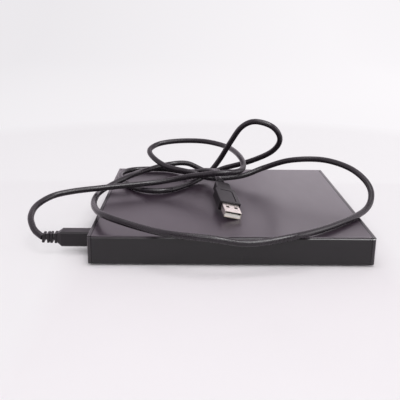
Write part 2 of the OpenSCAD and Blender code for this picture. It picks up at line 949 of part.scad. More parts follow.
module eject_spring() {
    turns = 7;
    start = back_x + sheet + 1.9;
    run = tray_back + 12.8 - start;
    wire = 0.22;
    mean_r = 1.9;
    sides = 6;
    steps = 8 * turns;
    color([0.8, 0.8, 0.8])
    polyhedron(
        points = [for (i = [0 : steps], k = [0 : sides - 1])
            let(a = 360 * i / 8, b = 360 * k / sides, rr = mean_r + wire * cos(b))
            [start + run * i / steps + wire * sin(b), push_y + rr * cos(a), push_z + rr * sin(a)]],
        faces = tube_faces(steps + 1, sides));
}

module eject_switch() {
    color([0.2, 0.2, 0.22])
    union() {
        block([deck_x - 5.6, button_y - 4, plate_top], [deck_x - 2.9, button_y + 4, bezel_mid + 2]);
        block([deck_x - 3, button_y - 1.2, bezel_mid - 1], [deck_x - 1.7, button_y + 1.2,
            bezel_mid + 1]);
    }
}

module eject_button() {
    color([0.16, 0.16, 0.165])
    union() {
        block([deck_x + 0.6, button_y - button_w / 2, bezel_mid - button_h / 2],
            [bezel_x + 0.2, button_y + button_w / 2, bezel_mid + button_h / 2]);
        block([deck_x - 1, button_y - 2, bezel_mid - 1], [deck_x + 0.6 + eps, button_y + 2,
            bezel_mid + 1]);
    }
}

module light_pipe() {
    color([0.75, 0.85, 0.72])
    union() {
        block([deck_x, light_y - 1.5, bezel_mid - 0.7], [bezel_x - 0.05, light_y + 1.5,
            bezel_mid + 0.7]);
        block([deck_x - 1.2, light_y - 1.5, bezel_mid - 0.7], [deck_x + eps, light_y + 1.5,
            bezel_mid + 0.7]);
    }
}

// Spindle

module spindle_hub() {
    color([0.78, 0.78, 0.79])
    translate([disc_x, 0, 0])
        difference() {
            union() {
                rod([0, 0, base_z + 1.8], rotor_r, flange_low - base_z - 1.8 + eps);
                rod([0, 0, flange_low], flange_r, seat_z - pad_t - flange_low);
                rod([0, 0, flange_low], hub_r + 2.4, seat_z - flange_low);
                rod([0, 0, flange_low], hub_r, cone_from - flange_low);
                translate([0, 0, cone_from - eps])
                    cylinder(r1 = hub_r, r2 = hub_r + cone_from - hub_top,
                        h = hub_top - cone_from + eps);
            }
            rod([0, 0, 0], shaft_r + run_gap, base_z + 5.2);
            for (a = [0, 120, 240])
                rotate([0, 0, a])
                    block([4.6, -claw_w / 2 - 0.1, claw_low - 0.1], [hub_r + 1, claw_w / 2 + 0.1,
                        claw_top + 0.1]);
        }
}

module hub_pad() {
    color([0.12, 0.12, 0.13])
    translate([disc_x, 0, seat_z - pad_t])
        difference() {
            cylinder(r = flange_r - 0.2, h = pad_t);
            translate([0, 0, -1])
                cylinder(r = hub_r + 2.5, h = 3);
        }
}

// A claw that presses the disc down, at one of three angles
module clamp_claw(a) {
    color([0.88, 0.88, 0.85])
    translate([disc_x, 0, claw_low])
        rotate([0, 0, a])
            intersection() {
                block([5.3, -claw_w / 2, 0], [9, claw_w / 2, claw_top - claw_low]);
                cylinder(r1 = hub_r + claw_out, r2 = hub_r - 0.1, h = claw_top - claw_low);
            }
}

module clamp_claw_a() {
    clamp_claw(0);
}

module clamp_claw_b() {
    clamp_claw(120);
}

module clamp_claw_c() {
    clamp_claw(240);
}

// Laser sled

module sled_frame() {
    laser_frame()
        translate([sled_at, 0, 0])
            children();
}

module sled() {
    low = plate_top + 0.8;
    high = rod_z + 2.2;
    color([0.45, 0.46, 0.48])
    sled_frame()
        difference() {
            union() {
                block([-sled_back, -9.4, low], [sled_fore, 7.6, high]);
                block([-sled_back, rod_main - 2.1, low], [1, -9, high - 0.4]);
                block([-6, 7, low], [-1, rod_sub + 1.9, high - 0.4]);
                block([-5, rod_sub + 1.8, rod_z - 0.8], [-2, screw_v - screw_r - 0.08, rod_z + 0.8]);
            }
            for (v = [rod_main, rod_sub])
                rod_x([-sled_back - 1, v, rod_z], rod_r + run_gap, 30);
            block([-holder_half - 1.1, -holder_half - 1.1, holder_low - 0.5],
                [holder_half + 1.1, holder_half + 1.1, high + 1]);
            rod([0, 0, low - 1], 2.4, 10);
        }
}

module sled_cover() {
    high = rod_z + 2.2;
    color([0.80, 0.80, 0.80])
    sled_frame()
        difference() {
            block([-sled_back + 0.6, -9, high], [sled_fore - 0.4, 7.2, high + 0.4]);
            block([-holder_half - 1, -holder_half - 1, high - 1],
                [holder_half + 1, holder_half + 1, high + 2]);
        }
}

module lens_holder() {
    color([0.08, 0.08, 0.09])
    sled_frame()
        difference() {
            union() {
                block([-holder_half, -holder_half, holder_low], [holder_half, holder_half,
                    holder_high - 0.5]);
                rod([0, 0, holder_low], 2.9, holder_high - holder_low);
            }
            rod([0, 0, holder_low - 1], 1.6, 12);
            rod([0, 0, holder_high - 0.6], 2.05, 12);
        }
}

module lens() {
    color([0.55, 0.65, 0.85, 0.6])
    sled_frame()
        translate([0, 0, holder_high - 0.6])
            union() {
                cylinder(r = 2, h = 0.6);
                translate([0, 0, 0.4])
                    intersection() {
                        translate([0, 0, -3.4])
                            sphere(r = 4, $fn = 40);
                        cylinder(r = 1.9, h = 3);
                    }
            }
}

module lead_screw() {
    pitch = 3;
    from = 13.2;
    to = 58.4;
    color([0.8, 0.78, 0.7])
    laser_frame()
        translate([0, screw_v, rod_z])
            rotate([0, 90, 0])
                union() {
                    translate([0, 0, from])
                        linear_extrude(to - from, twist = -360 * (to - from) / pitch,
                            slices = 5 * round((to - from) / pitch), segments = 8)
                            translate([0.2, 0])
                                circle(r = screw_r - 0.2, $fn = 8);
                    translate([0, 0, 9.6])
                        cylinder(r = 0.8, h = from - 9.6 + eps);
                    translate([0, 0, to - eps])
                        cylinder(r = 0.8, h = 3);
                }
}

// USB lead

module plug_b_shell() {
    color([0.75, 0.75, 0.73])
    difference() {
        translate([plug_x - 2, usb_y, usb_z])
            rotate([90, 0, 90])
                linear_extrude(12.8)
                    b_outline(4.22, 3.89);
        translate([plug_x - 1, usb_y, usb_z])
            rotate([90, 0, 90])
                linear_extrude(13)
                    b_outline(3.87, 3.54);
    }
}

// Outline of a square plug with two bevelled upper corners
module b_outline(w, h) {
    polygon([[-w, -h], [w, -h], [w, h - 1.6], [w - 1.6, h], [-w + 1.6, h], [-w, h - 1.6]]);
}

// A block with bevelled edges along X
module grip_bar(l, w, c) {
    rotate([90, 0, 90])
        linear_extrude(l)
            polygon([[-w, -w + c], [-w + c, -w], [w - c, -w], [w, -w + c], [w, w - c],
                [w - c, w], [-w + c, w], [-w, w - c]]);
}

module plug_b_grip() {
    w = grip_b / 2;
    color([0.13, 0.13, 0.135])
    translate([0, usb_y, usb_z])
        difference() {
            union() {
                translate([plug_x - grip_b_l, 0, 0])
                    grip_bar(grip_b_l, w, 1);
                hull() {
                    translate([plug_x - grip_b_l, 0, 0])
                        grip_bar(0.1, w, 1);
                    translate([relief_b_x, 0, 0])
                        grip_bar(0.1, 3.3, 1);
                }
            }
            translate([plug_x - 2, 0, 0])
                rotate([90, 0, 90])
                    linear_extrude(13)
                        b_outline(4.22, 3.89);
        }
}

// Ribbed sleeve where the cord leaves the plug in the box
module plug_b_relief() {
    w = 6.1;
    ribs = [0.3, 3.4, 5.5, 8.4];
    color([0.12, 0.12, 0.125])
    translate([relief_b_x - relief_b_l, usb_y, usb_z])
        union() {
            rod_x([0, 0, 0], cord_r + 0.45, relief_b_l);
            for (i = [0 : len(ribs) - 1])
                translate([ribs[i], 0, 0])
                    rotate([90, 0, 90])
                        linear_extrude(1.7)
                            plan(w + 0.15 * i, w + 0.15 * i, 1.3);
        }
}

// Faces of a closed tube of rings
function tube_faces(rings, sides) = concat(
    [[for (k = [0 : sides - 1]) k]],
    [for (i = [0 : rings - 2], k = [0 : sides - 1])
        let(a = i * sides + k, b = i * sides + (k + 1) % sides)
        [a, a + sides, b + sides]],
    [for (i = [0 : rings - 2], k = [0 : sides - 1])
        let(a = i * sides + k, b = i * sides + (k + 1) % sides)
        [a, b + sides, b]],
    [[for (k = [sides - 1 : -1 : 0]) (rings - 1) * sides + k]]);

function unit(v) = v / norm(v);

// Point on a smooth curve from b to c, with its neighbours a and d
function curve(a, b, c, d, t) = 0.5 * (2 * b + (c - a) * t + (2 * a - 5 * b + 4 * c - d) * t * t
    + (3 * b - a - 3 * c + d) * t * t * t);

function route_at(p, i) = i < 0 ? 2 * p[0] - p[1]
    : i >= len(p) ? 2 * p[len(p) - 1] - p[len(p) - 2] : p[i];

function route_points(p) = concat(
    [for (i = [0 : len(p) - 2])
        let(n = ceil(norm(p[i + 1] - p[i]) / ring_gap))
        for (k = [0 : n - 1])
            curve(route_at(p, i - 1), p[i], p[i + 1], route_at(p, i + 2), k / n)],
    [p[len(p) - 1]]);

// Direction of the cord at a ring, straight out of the plug at the first one
function heading(p, i) = i == 0 ? [-1, 0, 0]
    : i == len(p) - 1 ? unit(p[i] - p[i - 1]) : unit(p[i + 1] - p[i - 1]);

// A side direction for each ring, carried along the curve without twist
function sides_along(p, i = 0, last = [0, 0, 1]) = i == len(p) ? []
    : let(t = heading(p, i), s = unit(last - (last * t) * t))
        concat([s], sides_along(p, i + 1, s));

// Least distance between parts of the cord that are not neighbours, less its diameter
function self_gap(p, apart) = min([for (i = [0 : len(p) - 1 - apart], j = [i + apart : len(p) - 1])
    norm(p[j] - p[i])]) - cord_d;

module usb_cord() {
    p = route_points(cord_route);
    s = sides_along(p);
    color([0.11, 0.11, 0.115])
    polyhedron(
        points = [for (i = [0 : len(p) - 1], k = [0 : 7])
            let(a = 45 * k, t = heading(p, i))
            p[i] + cord_r * (cos(a) * s[i] + sin(a) * cross(t, s[i]))],
        faces = tube_faces(len(p), 8));
    echo(rings = len(p), cord_gap = self_gap(p, 4));
}

// The free plug's frame: origin where the cord enters, the plug pointing along -Y
module free_plug() {
    along = unit(cord_route[cord_last] - cord_route[cord_last - 1]);
    translate(cord_route[cord_last])
        rotate([0, 0, atan2(along.x, -along.y)])
            rotate([-asin(along.z), 0, 0])
                rotate([0, plug_a_roll, 0])
                    children();
}

module plug_a_relief() {
    color([0.12, 0.12, 0.125])
    free_plug()
        union() {
            rod_y([0, -relief_a_l, 0], cord_r + 0.4, relief_a_l);
            for (i = [0 : 1])
                rod_y([0, -3 - 2.8 * i, 0], cord_r + 1, 1.4);
        }
}

module plug_a_grip() {
    hw = grip_a_w / 2;
    hh = grip_a_h / 2;
    color([0.13, 0.13, 0.135])
    free_plug()
        translate([0, -relief_a_l - neck_a_l - grip_a_l, 0])
            difference() {
                union() {
                    a_bar(0, grip_a_l, hw, hh);
                    hull() {
                        a_bar(grip_a_l - 0.1, 0.1, hw, hh);
                        a_bar(grip_a_l + 2.5, 0.1, hw - waist_in, hh - 0.5);
                    }
                    a_bar(grip_a_l + 2.4, neck_a_l - 2.4, hw - waist_in, hh - 0.5);
                }
                block([-6, -1, -2.25], [6, 4, 2.25]);
            }
}

// A bar with bevelled edges along Y
module a_bar(y, l, hw, hh) {
    c = 0.7;
    translate([0, y + l, 0])
        rotate([90, 0, 0])
            linear_extrude(l)
                polygon([[-hw, -hh + c], [-hw + c, -hh], [hw - c, -hh], [hw, -hh + c],
                    [hw, hh - c], [hw - c, hh], [-hw + c, hh], [-hw, hh - c]]);
}

module plug_a_shell() {
    y = -relief_a_l - neck_a_l - grip_a_l;
    color([0.80, 0.79, 0.76])
    free_plug()
        difference() {
            block([-6, y - shell_a_l, -2.25], [6, y + 4, 2.25]);
            block([-5.7, y - shell_a_l - 1, -1.95], [5.7, y + 3.7, 1.95]);
            for (s = [-1, 1])
                block([s * 3 - 1.1, y - 6, 0], [s * 3 + 1.1, y - 3.8, 3]);
        }
}

module plug_a_core() {
    y = -relief_a_l - neck_a_l - grip_a_l;
    color([0.88, 0.87, 0.84])
    free_plug()
        union() {
            block([-5.7, y - shell_a_l + 0.5, -1.95], [5.7, y + 3.7, -0.1]);
            block([-5.7, y + 0.2, -1.95], [5.7, y + 3.7, 1.95]);
        }
}

base_shell();
top_cover();
rear_panel();
front_panel();
rubber_feet();
case_screws();
bridge_board();
bridge_parts();
usb_socket_shell();
usb_socket_core();
drive_connector();
mounting_brackets();
inner_screws();
drive_pan();
drive_lid();
drive_board();
drive_board_parts();
guide_rail_left();
guide_rail_right();
latch_post();
flex_ribbon();
slide_rail_left();
slide_rail_right();
tray();
drive_bezel();
tray_plate();
traverse_frame();
traverse_dampers();
guide_rods();
feed_motor();
feed_bracket();
spindle_base();
tray_board();
latch_solenoid();
ejector_housing();
eject_plunger();
eject_spring();
eject_switch();
eject_button();
light_pipe();
spindle_hub();
hub_pad();
clamp_claw_a();
clamp_claw_b();
clamp_claw_c();
sled();
sled_cover();
lens_holder();
lens();
lead_screw();
latch_hook();
solenoid_plunger();
plug_b_shell();
plug_b_grip();
plug_b_relief();
usb_cord();
plug_a_relief();
plug_a_grip();
plug_a_shell();
plug_a_core();
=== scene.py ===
"""Looks of a flat external disc drive with its USB lead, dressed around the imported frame.

Everything is in metres, in the frame's own axes: +Z is up, the tray opens towards +X, and the
origin is on the floor under the middle of the box.
"""

import json
import logging
import math
from collections.abc import Callable, Iterable, Sequence
from dataclasses import dataclass
from enum import Enum

import bmesh
import bpy
from mathutils import Matrix, Vector

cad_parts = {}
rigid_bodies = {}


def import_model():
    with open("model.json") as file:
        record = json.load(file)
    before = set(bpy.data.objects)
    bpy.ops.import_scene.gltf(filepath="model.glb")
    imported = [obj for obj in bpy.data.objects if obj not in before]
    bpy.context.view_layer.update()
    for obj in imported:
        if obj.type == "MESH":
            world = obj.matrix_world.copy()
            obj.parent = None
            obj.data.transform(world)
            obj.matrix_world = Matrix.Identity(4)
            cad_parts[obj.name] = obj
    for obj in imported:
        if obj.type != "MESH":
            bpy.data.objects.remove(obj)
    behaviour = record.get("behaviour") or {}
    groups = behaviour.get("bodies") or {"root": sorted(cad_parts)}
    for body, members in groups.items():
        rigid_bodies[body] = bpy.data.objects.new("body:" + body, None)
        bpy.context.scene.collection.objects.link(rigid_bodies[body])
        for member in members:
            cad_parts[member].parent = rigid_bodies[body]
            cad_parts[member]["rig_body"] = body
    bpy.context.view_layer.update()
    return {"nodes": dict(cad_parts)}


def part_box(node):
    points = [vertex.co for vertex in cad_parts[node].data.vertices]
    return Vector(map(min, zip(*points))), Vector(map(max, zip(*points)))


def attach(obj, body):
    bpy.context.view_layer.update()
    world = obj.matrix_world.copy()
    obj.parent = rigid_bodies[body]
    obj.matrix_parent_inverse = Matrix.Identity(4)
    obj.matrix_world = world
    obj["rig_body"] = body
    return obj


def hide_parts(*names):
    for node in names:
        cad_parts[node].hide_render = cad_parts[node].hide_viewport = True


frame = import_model()

Colour = tuple[float, float, float]
Point = tuple[float, float, float]
Pair = tuple[float, float]
Socket = bpy.types.NodeSocket

MM = 0.001
WELD = 1e-6
NEAR = 0.05 * MM
FLAT_WITHIN = math.radians(0.5)
SMOOTH_BELOW = math.radians(40)
SOFTEN_ABOVE = math.radians(28)

ORIGIN: Point = (0.0, 0.0, 0.0)
DUST: Colour = (0.30, 0.29, 0.28)
NOISE_RANGE: Pair = (0.3, 0.7)

# Sockets of the colour Mix node, which has others of the same name for numbers
MIX_FIRST = 6
MIX_SECOND = 7
MIX_RESULT = 2

log = logging.getLogger("disc_drive")


class Body(str, Enum):
    """Bodies of the frame that the new pieces ride on."""

    CASE = "case"
    LENS = "lens"
    LEAD = "usb_lead"


class Blend(Enum):
    """Way in which one colour is blended into another."""

    MIX = "MIX"
    MULTIPLY = "MULTIPLY"


class Along(Enum):
    """Direction that brush marks, wires or stripes run in."""

    X = (1.0, 0.0, 0.0)
    Y = (0.0, 1.0, 0.0)
    Z = (0.0, 0.0, 1.0)


# Materials


class Recipe:
    """The node tree of one material, from object coordinates to its shader."""

    def __init__(self, name: str) -> None:
        """Starts an empty tree with a Principled shader on its output.

        Args:
            name: The material's name.
        """
        self.material = bpy.data.materials.new(name)
        self.material.use_nodes = True
        self.tree = self.material.node_tree
        self.tree.nodes.clear()
        self.out = self.add("ShaderNodeOutputMaterial")
        self.shader = self.add("ShaderNodeBsdfPrincipled")
        self.join(self.shader.outputs[0], self.out.inputs["Surface"])
        self.place = self.add("ShaderNodeTexCoord").outputs["Object"]

    def add(self, kind: str) -> bpy.types.Node:
        """Adds a node of a kind."""
        return self.tree.nodes.new(kind)

    def join(self, source: Socket, target: Socket) -> None:
        """Links two sockets."""
        self.tree.links.new(source, target)

    def feed(self, target: Socket, value: "Socket | float | Sequence[float]") -> None:
        """Links a socket to a target, or sets a constant on it.

        Args:
            target: The input to feed.
            value: A socket, a number, or a colour of three numbers.
        """
        if isinstance(value, bpy.types.NodeSocket):
            self.join(value, target)
        elif target.type == "RGBA":
            target.default_value = (*value, 1.0)
        else:
            target.default_value = value

    def noise(self, size: float, detail: float = 2.0, place: Socket | None = None) -> Socket:
        """Cloudy noise.

        Args:
            size: Size of its patches in metres.
            detail: Number of finer layers.
            place: Coordinates to use in place of the object's.

        Returns:
            A value from 0 to 1, mostly near a half.
        """
        node = self.add("ShaderNodeTexNoise")
        self.join(place or self.place, node.inputs["Vector"])
        node.inputs["Scale"].default_value = 1.0 / size
        node.inputs["Detail"].default_value = detail
        return node.outputs[0]

    def cells(self, size: float, place: Socket | None = None) -> Socket:
        """Voronoi cells.

        Args:
            size: Size of a cell in metres.
            place: Coordinates to use in place of the object's.

        Returns:
            The distance from the cell's point, in cells.
        """
        node = self.add("ShaderNodeTexVoronoi")
        self.join(place or self.place, node.inputs["Vector"])
        node.inputs["Scale"].default_value = 1.0 / size
        return node.outputs["Distance"]

    def stretched(self, scale: Point, turn: float = 0.0) -> Socket:
        """Coordinates scaled along the axes and turned about Z.

        Args:
            scale: Factors along the axes.
            turn: Angle in radians.

        Returns:
            The changed coordinates.
        """
        node = self.add("ShaderNodeMapping")
        self.join(self.place, node.inputs["Vector"])
        node.inputs["Scale"].default_value = scale
        node.inputs["Rotation"].default_value = (0.0, 0.0, turn)
        return node.outputs[0]

    def axis(self, which: Along) -> Socket:
        """One coordinate of the place.

        Args:
            which: Axis that it is measured along.

        Returns:
            The coordinate in metres.
        """
        node = self.add("ShaderNodeSeparateXYZ")
        self.join(self.place, node.inputs[0])
        return node.outputs[which.name]

    def maths(self, kind: str, first: "Socket | float", second: "Socket | float" = 0.0) -> Socket:
        """One sum of two values.

        Args:
            kind: The Math node's operation.
            first: Its first value.
            second: Its second value, where it takes one.

        Returns:
            The result.
        """
        node = self.add("ShaderNodeMath")
        node.operation = kind
        self.feed(node.inputs[0], first)
        self.feed(node.inputs[1], second)
        return node.outputs[0]

    def off_middle(self, which: Along, pitch: float) -> Socket:
        """How far a place is from the middle of the stripe that it is in.

        Args:
            which: Direction that the stripes follow one another in.
            pitch: Width of a stripe in metres.

        Returns:
            The distance in stripes, from 0 to a half.
        """
        turns = self.maths("FRACT", self.maths("DIVIDE", self.axis(which), pitch))
        return self.maths("ABSOLUTE", self.maths("SUBTRACT", turns, 0.5))

    def span(self, value: Socket, start: float, end: float, low: float, high: float) -> Socket:
        """Maps a value from one range to another and clamps it.

        Args:
            value: The value to map.
            start: Value that gives low.
            end: Value that gives high.
            low: Result at the start.
            high: Result at the end.

        Returns:
            The mapped value.
        """
        node = self.add("ShaderNodeMapRange")
        self.feed(node.inputs["Value"], value)
        ends = {"From Min": start, "From Max": end, "To Min": low, "To Max": high}
        for name, number in ends.items():
            node.inputs[name].default_value = number
        return node.outputs[0]

    def spread(self, noise: Socket, low: float = 0.0, high: float = 1.0) -> Socket:
        """Maps the range that noise mostly fills to the range from low to high."""
        return self.span(noise, *NOISE_RANGE, low, high)

    def tint(self, share: Socket, first: "Socket | Colour", second: "Socket | Colour",
             kind: Blend = Blend.MIX) -> Socket:
        """Blends a second colour into a first one.

        Args:
            share: How far the blend goes, from 0 to 1.
            first: The colour at 0.
            second: The colour that is blended in.
            kind: The way in which it is blended.

        Returns:
            The blended colour.
        """
        node = self.add("ShaderNodeMix")
        node.data_type = "RGBA"
        node.blend_type = kind.value
        self.feed(node.inputs[0], share)
        self.feed(node.inputs[MIX_FIRST], first)
        self.feed(node.inputs[MIX_SECOND], second)
        return node.outputs[MIX_RESULT]

    def bump(self, height: Socket, depth: float, under: Socket | None = None) -> Socket:
        """Relief from a height.

        Args:
            height: Height from 0 to 1.
            depth: What a height of 1 stands for, in metres.
            under: A coarser relief that this one lies on.

        Returns:
            The bent normal.
        """
        node = self.add("ShaderNodeBump")
        node.inputs["Distance"].default_value = depth
        self.join(height, node.inputs["Height"])
        if under is not None:
            self.join(under, node.inputs["Normal"])
        return node.outputs[0]

    def finish(self, **inputs: "Socket | float | Sequence[float]") -> bpy.types.Material:
        """Feeds the shader's inputs.

        Args:
            **inputs: What each is fed, by its name in small letters with _ for a space.

        Returns:
            The material.
        """
        for name, value in inputs.items():
            title = name.upper() if name == "ior" else name.replace("_", " ").title()
            self.feed(self.shader.inputs[title], value)
        return self.material


def shade(colour: Colour, share: float) -> Colour:
    """A colour made lighter or darker by a factor."""
    return tuple(min(1.0, c * share) for c in colour)


@dataclass(frozen=True)
class Finish:
    """What all finishes have: the name that their material is given, and a colour."""

    name: str
    colour: Colour
    roughness: float

    def build(self) -> bpy.types.Material:
        """Makes the material."""
        raise NotImplementedError

    def uneven(self, r: Recipe, noise: Socket, less: float, more: float) -> Socket:
        """Roughness that follows a noise.

        Args:
            r: The material being made.
            noise: The noise to follow.
            less: How far it goes under the finish's own roughness.
            more: How far it goes over it.

        Returns:
            The roughness.
        """
        return r.spread(noise, self.roughness - less, self.roughness + more)


@dataclass(frozen=True)
class MouldedPlastic(Finish):
    """Spark-eroded moulding: fine grain, faint flow marks, rubbed patches and settled dust."""

    grain: float = 0.35 * MM
    depth: float = 0.006 * MM
    swell: float = 0.004 * MM
    wear: float = 0.04
    mottle: float = 0.10
    dust: float = 0.25
    bend: float = 1.5
    flow_size: float = 34 * MM
    speck_size: float = 2.6 * MM
    drift_size: float = 15 * MM
    rub_size: float = 9 * MM
    swell_size: float = 4 * MM
    rub_stretch: Point = (1.0, 0.35, 1.0)
    rub_turn: float = 0.5

    def build(self) -> bpy.types.Material:
        """Makes the material."""
        r = Recipe(self.name)
        tone = r.tint(r.spread(r.noise(self.flow_size, 3.0)), shade(self.colour, 1 - self.mottle),
                      shade(self.colour, 1 + self.mottle))
        speck = r.span(r.cells(self.speck_size), 0.10, 0.05, 0.0, self.dust)
        drift = r.span(r.noise(self.drift_size, 4.0), 0.5, 0.72, 0.0, 1.0)
        dusty = r.tint(r.maths("MULTIPLY", speck, drift), tone, DUST)
        rub = r.noise(self.rub_size, 5.0, r.stretched(self.rub_stretch, self.rub_turn))
        rough = self.uneven(r, rub, self.wear, self.wear)
        relief = r.bump(r.noise(self.grain, 3.0), self.depth,
                        r.bump(r.noise(self.swell_size, 2.0), self.swell))
        return r.finish(base_color=dusty, roughness=rough, normal=relief, ior=self.bend)


@dataclass(frozen=True)
class SmoothPlastic(MouldedPlastic):
    """Polished moulding: hardly any grain, wear or dust, and a strong gleam."""

    depth: float = 0.0008 * MM
    swell: float = 0.0006 * MM
    wear: float = 0.012
    mottle: float = 0.05
    dust: float = 0.06


@dataclass(frozen=True)
class Rubber(Finish):
    """Soft rubber: dull, slightly dusty, with a fine skin."""

    grain: float = 0.22 * MM
    depth: float = 0.008 * MM
    bloom_size: float = 5 * MM
    bloom_share: float = 0.6
    bloom_gain: float = 2.2
    patch_size: float = 2 * MM
    wear: float = 0.06

    def build(self) -> bpy.types.Material:
        """Makes the material."""
        r = Recipe(self.name)
        bloom = r.span(r.noise(self.bloom_size, 5.0), 0.42, 0.75, 0.0, self.bloom_share)
        tone = r.tint(bloom, self.colour, shade(self.colour, self.bloom_gain))
        rough = self.uneven(r, r.noise(self.patch_size, 3.0), self.wear, self.wear)
        relief = r.bump(r.noise(self.grain, 2.0), self.depth)
        return r.finish(base_color=tone, roughness=rough, normal=relief)


@dataclass(frozen=True)
class SheetMetal(Finish):
    """Plated or rolled sheet with brush marks along one direction and faint smudges."""

    brush: Along = Along.X
    spangle: float = 0.0
    mark_size: float = 0.16 * MM
    mark_depth: float = 0.003 * MM
    mark_stretch: float = 0.03
    smudge_size: float = 11 * MM
    plate_size: float = 3.5 * MM
    wave_size: float = 14 * MM
    wave_depth: float = 0.02 * MM
    wear: float = 0.07
    dim: float = 0.74

    def build(self) -> bpy.types.Material:
        """Makes the material."""
        r = Recipe(self.name)
        across = tuple(self.mark_stretch if part else 1.0 for part in self.brush.value)
        marks = r.noise(self.mark_size, 3.0, r.stretched(across))
        smudge = r.noise(self.smudge_size, 4.0)
        plates = r.maths("MULTIPLY", r.cells(self.plate_size), self.spangle)
        dimmed = r.maths("ADD", r.span(smudge, 0.35, 0.7, 0.0, 0.5), plates)
        tone = r.tint(dimmed, self.colour, shade(self.colour, self.dim))
        rough = r.maths("ADD", self.uneven(r, marks, self.wear, self.wear),
                        r.span(smudge, 0.45, 0.75, 0.0, 0.12))
        relief = r.bump(marks, self.mark_depth,
                        r.bump(r.noise(self.wave_size, 1.0), self.wave_depth))
        return r.finish(base_color=tone, roughness=rough, normal=relief, metallic=1.0)


@dataclass(frozen=True)
class TurnedMetal(Finish):
    """Ground, turned or cast metal with fine pits and a slightly uneven polish."""

    pits: float = 0.25 * MM
    depth: float = 0.004 * MM
    patch_size: float = 3 * MM
    dim: float = 0.86
    bright: float = 1.08

    def build(self) -> bpy.types.Material:
        """Makes the material."""
        r = Recipe(self.name)
        patch = r.noise(self.patch_size, 4.0)
        tone = r.tint(r.spread(patch), shade(self.colour, self.dim),
                      shade(self.colour, self.bright))
        rough = self.uneven(r, patch, 0.05, 0.08)
        relief = r.bump(r.noise(self.pits, 3.0), self.depth)
        return r.finish(base_color=tone, roughness=rough, normal=relief, metallic=1.0)


@dataclass(frozen=True)
class SolderMask(Finish):
    """Circuit board: glossy resist over copper tracks, with tinned pads."""

    copper: Colour = (0.045, 0.13, 0.05)
    tinned: Colour = (0.62, 0.61, 0.58)
    pitch: float = 1.1 * MM
    bundle_size: float = 6 * MM
    patch_size: float = 11 * MM
    pad_size: float = 4.2 * MM
    depth: float = 0.03 * MM

    def lines(self, r: Recipe, across: Along) -> Socket:
        """Straight parallel tracks in bundles.

        Args:
            r: The material being made.
            across: Direction that the tracks follow one another in.

        Returns:
            1 on a track and 0 beside it.
        """
        line = r.span(r.off_middle(across, self.pitch), 0.14, 0.18, 1.0, 0.0)
        bundle = r.span(r.noise(self.bundle_size, 1.0), 0.46, 0.48, 0.0, 1.0)
        return r.maths("MULTIPLY", line, bundle)

    def build(self) -> bpy.types.Material:
        """Makes the material."""
        r = Recipe(self.name)
        patch = r.span(r.noise(self.patch_size, 0.0), 0.49, 0.51, 0.0, 1.0)
        rest = r.maths("SUBTRACT", 1.0, patch)
        track = r.maths("ADD", r.maths("MULTIPLY", self.lines(r, Along.X), patch),
                        r.maths("MULTIPLY", self.lines(r, Along.Y), rest))
        dots = r.cells(self.pad_size, r.stretched((1.0, 1.0, 0.0)))
        pad = r.span(dots, 0.10, 0.12, 1.0, 0.0)
        tone = r.tint(pad, r.tint(track, self.colour, self.copper), self.tinned)
        rough = self.uneven(r, r.noise(self.bundle_size, 3.0), 0.05, 0.08)
        relief = r.bump(r.maths("ADD", track, pad), self.depth)
        return r.finish(base_color=tone, roughness=rough, normal=relief, metallic=pad)


@dataclass(frozen=True)
class FilmRibbon(Finish):
    """Amber film with parallel conductors under it."""

    pitch: float = 0.8 * MM
    conductor: Colour = (0.46, 0.27, 0.10)
    depth: float = 0.03 * MM
    patch_size: float = 7 * MM
    coat: float = 0.4

    def build(self) -> bpy.types.Material:
        """Makes the material."""
        r = Recipe(self.name)
        wire = r.span(r.off_middle(Along.Y, self.pitch), 0.24, 0.28, 1.0, 0.0)
        tone = r.tint(wire, self.colour, self.conductor)
        rough = self.uneven(r, r.noise(self.patch_size, 2.0), 0.05, 0.07)
        relief = r.bump(wire, self.depth)
        return r.finish(base_color=tone, roughness=rough, normal=relief, coat_weight=self.coat)


@dataclass(frozen=True)
class WoundCoil(Finish):
    """Enamelled wire wound in close turns round one axis, with painted shade darkening the grooves
    between the turns.
    """

    wire: float = 0.24 * MM
    axle: Along = Along.X
    depth: float = 0.07 * MM
    patch_size: float = 2 * MM
    metallic: float = 0.7
    # How dark the painted shade in the grooves between turns is
    dim: float = 0.45

    def build(self) -> bpy.types.Material:
        """Makes the material."""
        r = Recipe(self.name)
        crown = r.span(r.off_middle(self.axle, self.wire), 0.0, 0.5, 1.0, 0.0)
        # Painted shade: the colour falls to dim in the grooves between turns
        tone = r.tint(crown, shade(self.colour, self.dim), self.colour)
        rough = self.uneven(r, r.noise(self.patch_size, 3.0), 0.05, 0.1)
        relief = r.bump(crown, self.depth)
        return r.finish(base_color=tone, roughness=rough, normal=relief, metallic=self.metallic)


@dataclass(frozen=True)
class ClearPart(Finish):
    """Clear or milky moulded part with faint flow lines."""

    through: float = 0.6
    bend: float = 1.49
    flow_size: float = 1.5 * MM
    depth: float = 0.01 * MM
    dim: float = 0.9

    def build(self) -> bpy.types.Material:
        """Makes the material."""
        r = Recipe(self.name)
        flow = r.noise(self.flow_size, 2.0)
        tone = r.tint(r.spread(flow), shade(self.colour, self.dim), self.colour)
        rough = self.uneven(r, flow, 0.0, 0.05)
        relief = r.bump(flow, self.depth)
        return r.finish(base_color=tone, roughness=rough, normal=relief,
                        transmission_weight=self.through, ior=self.bend)


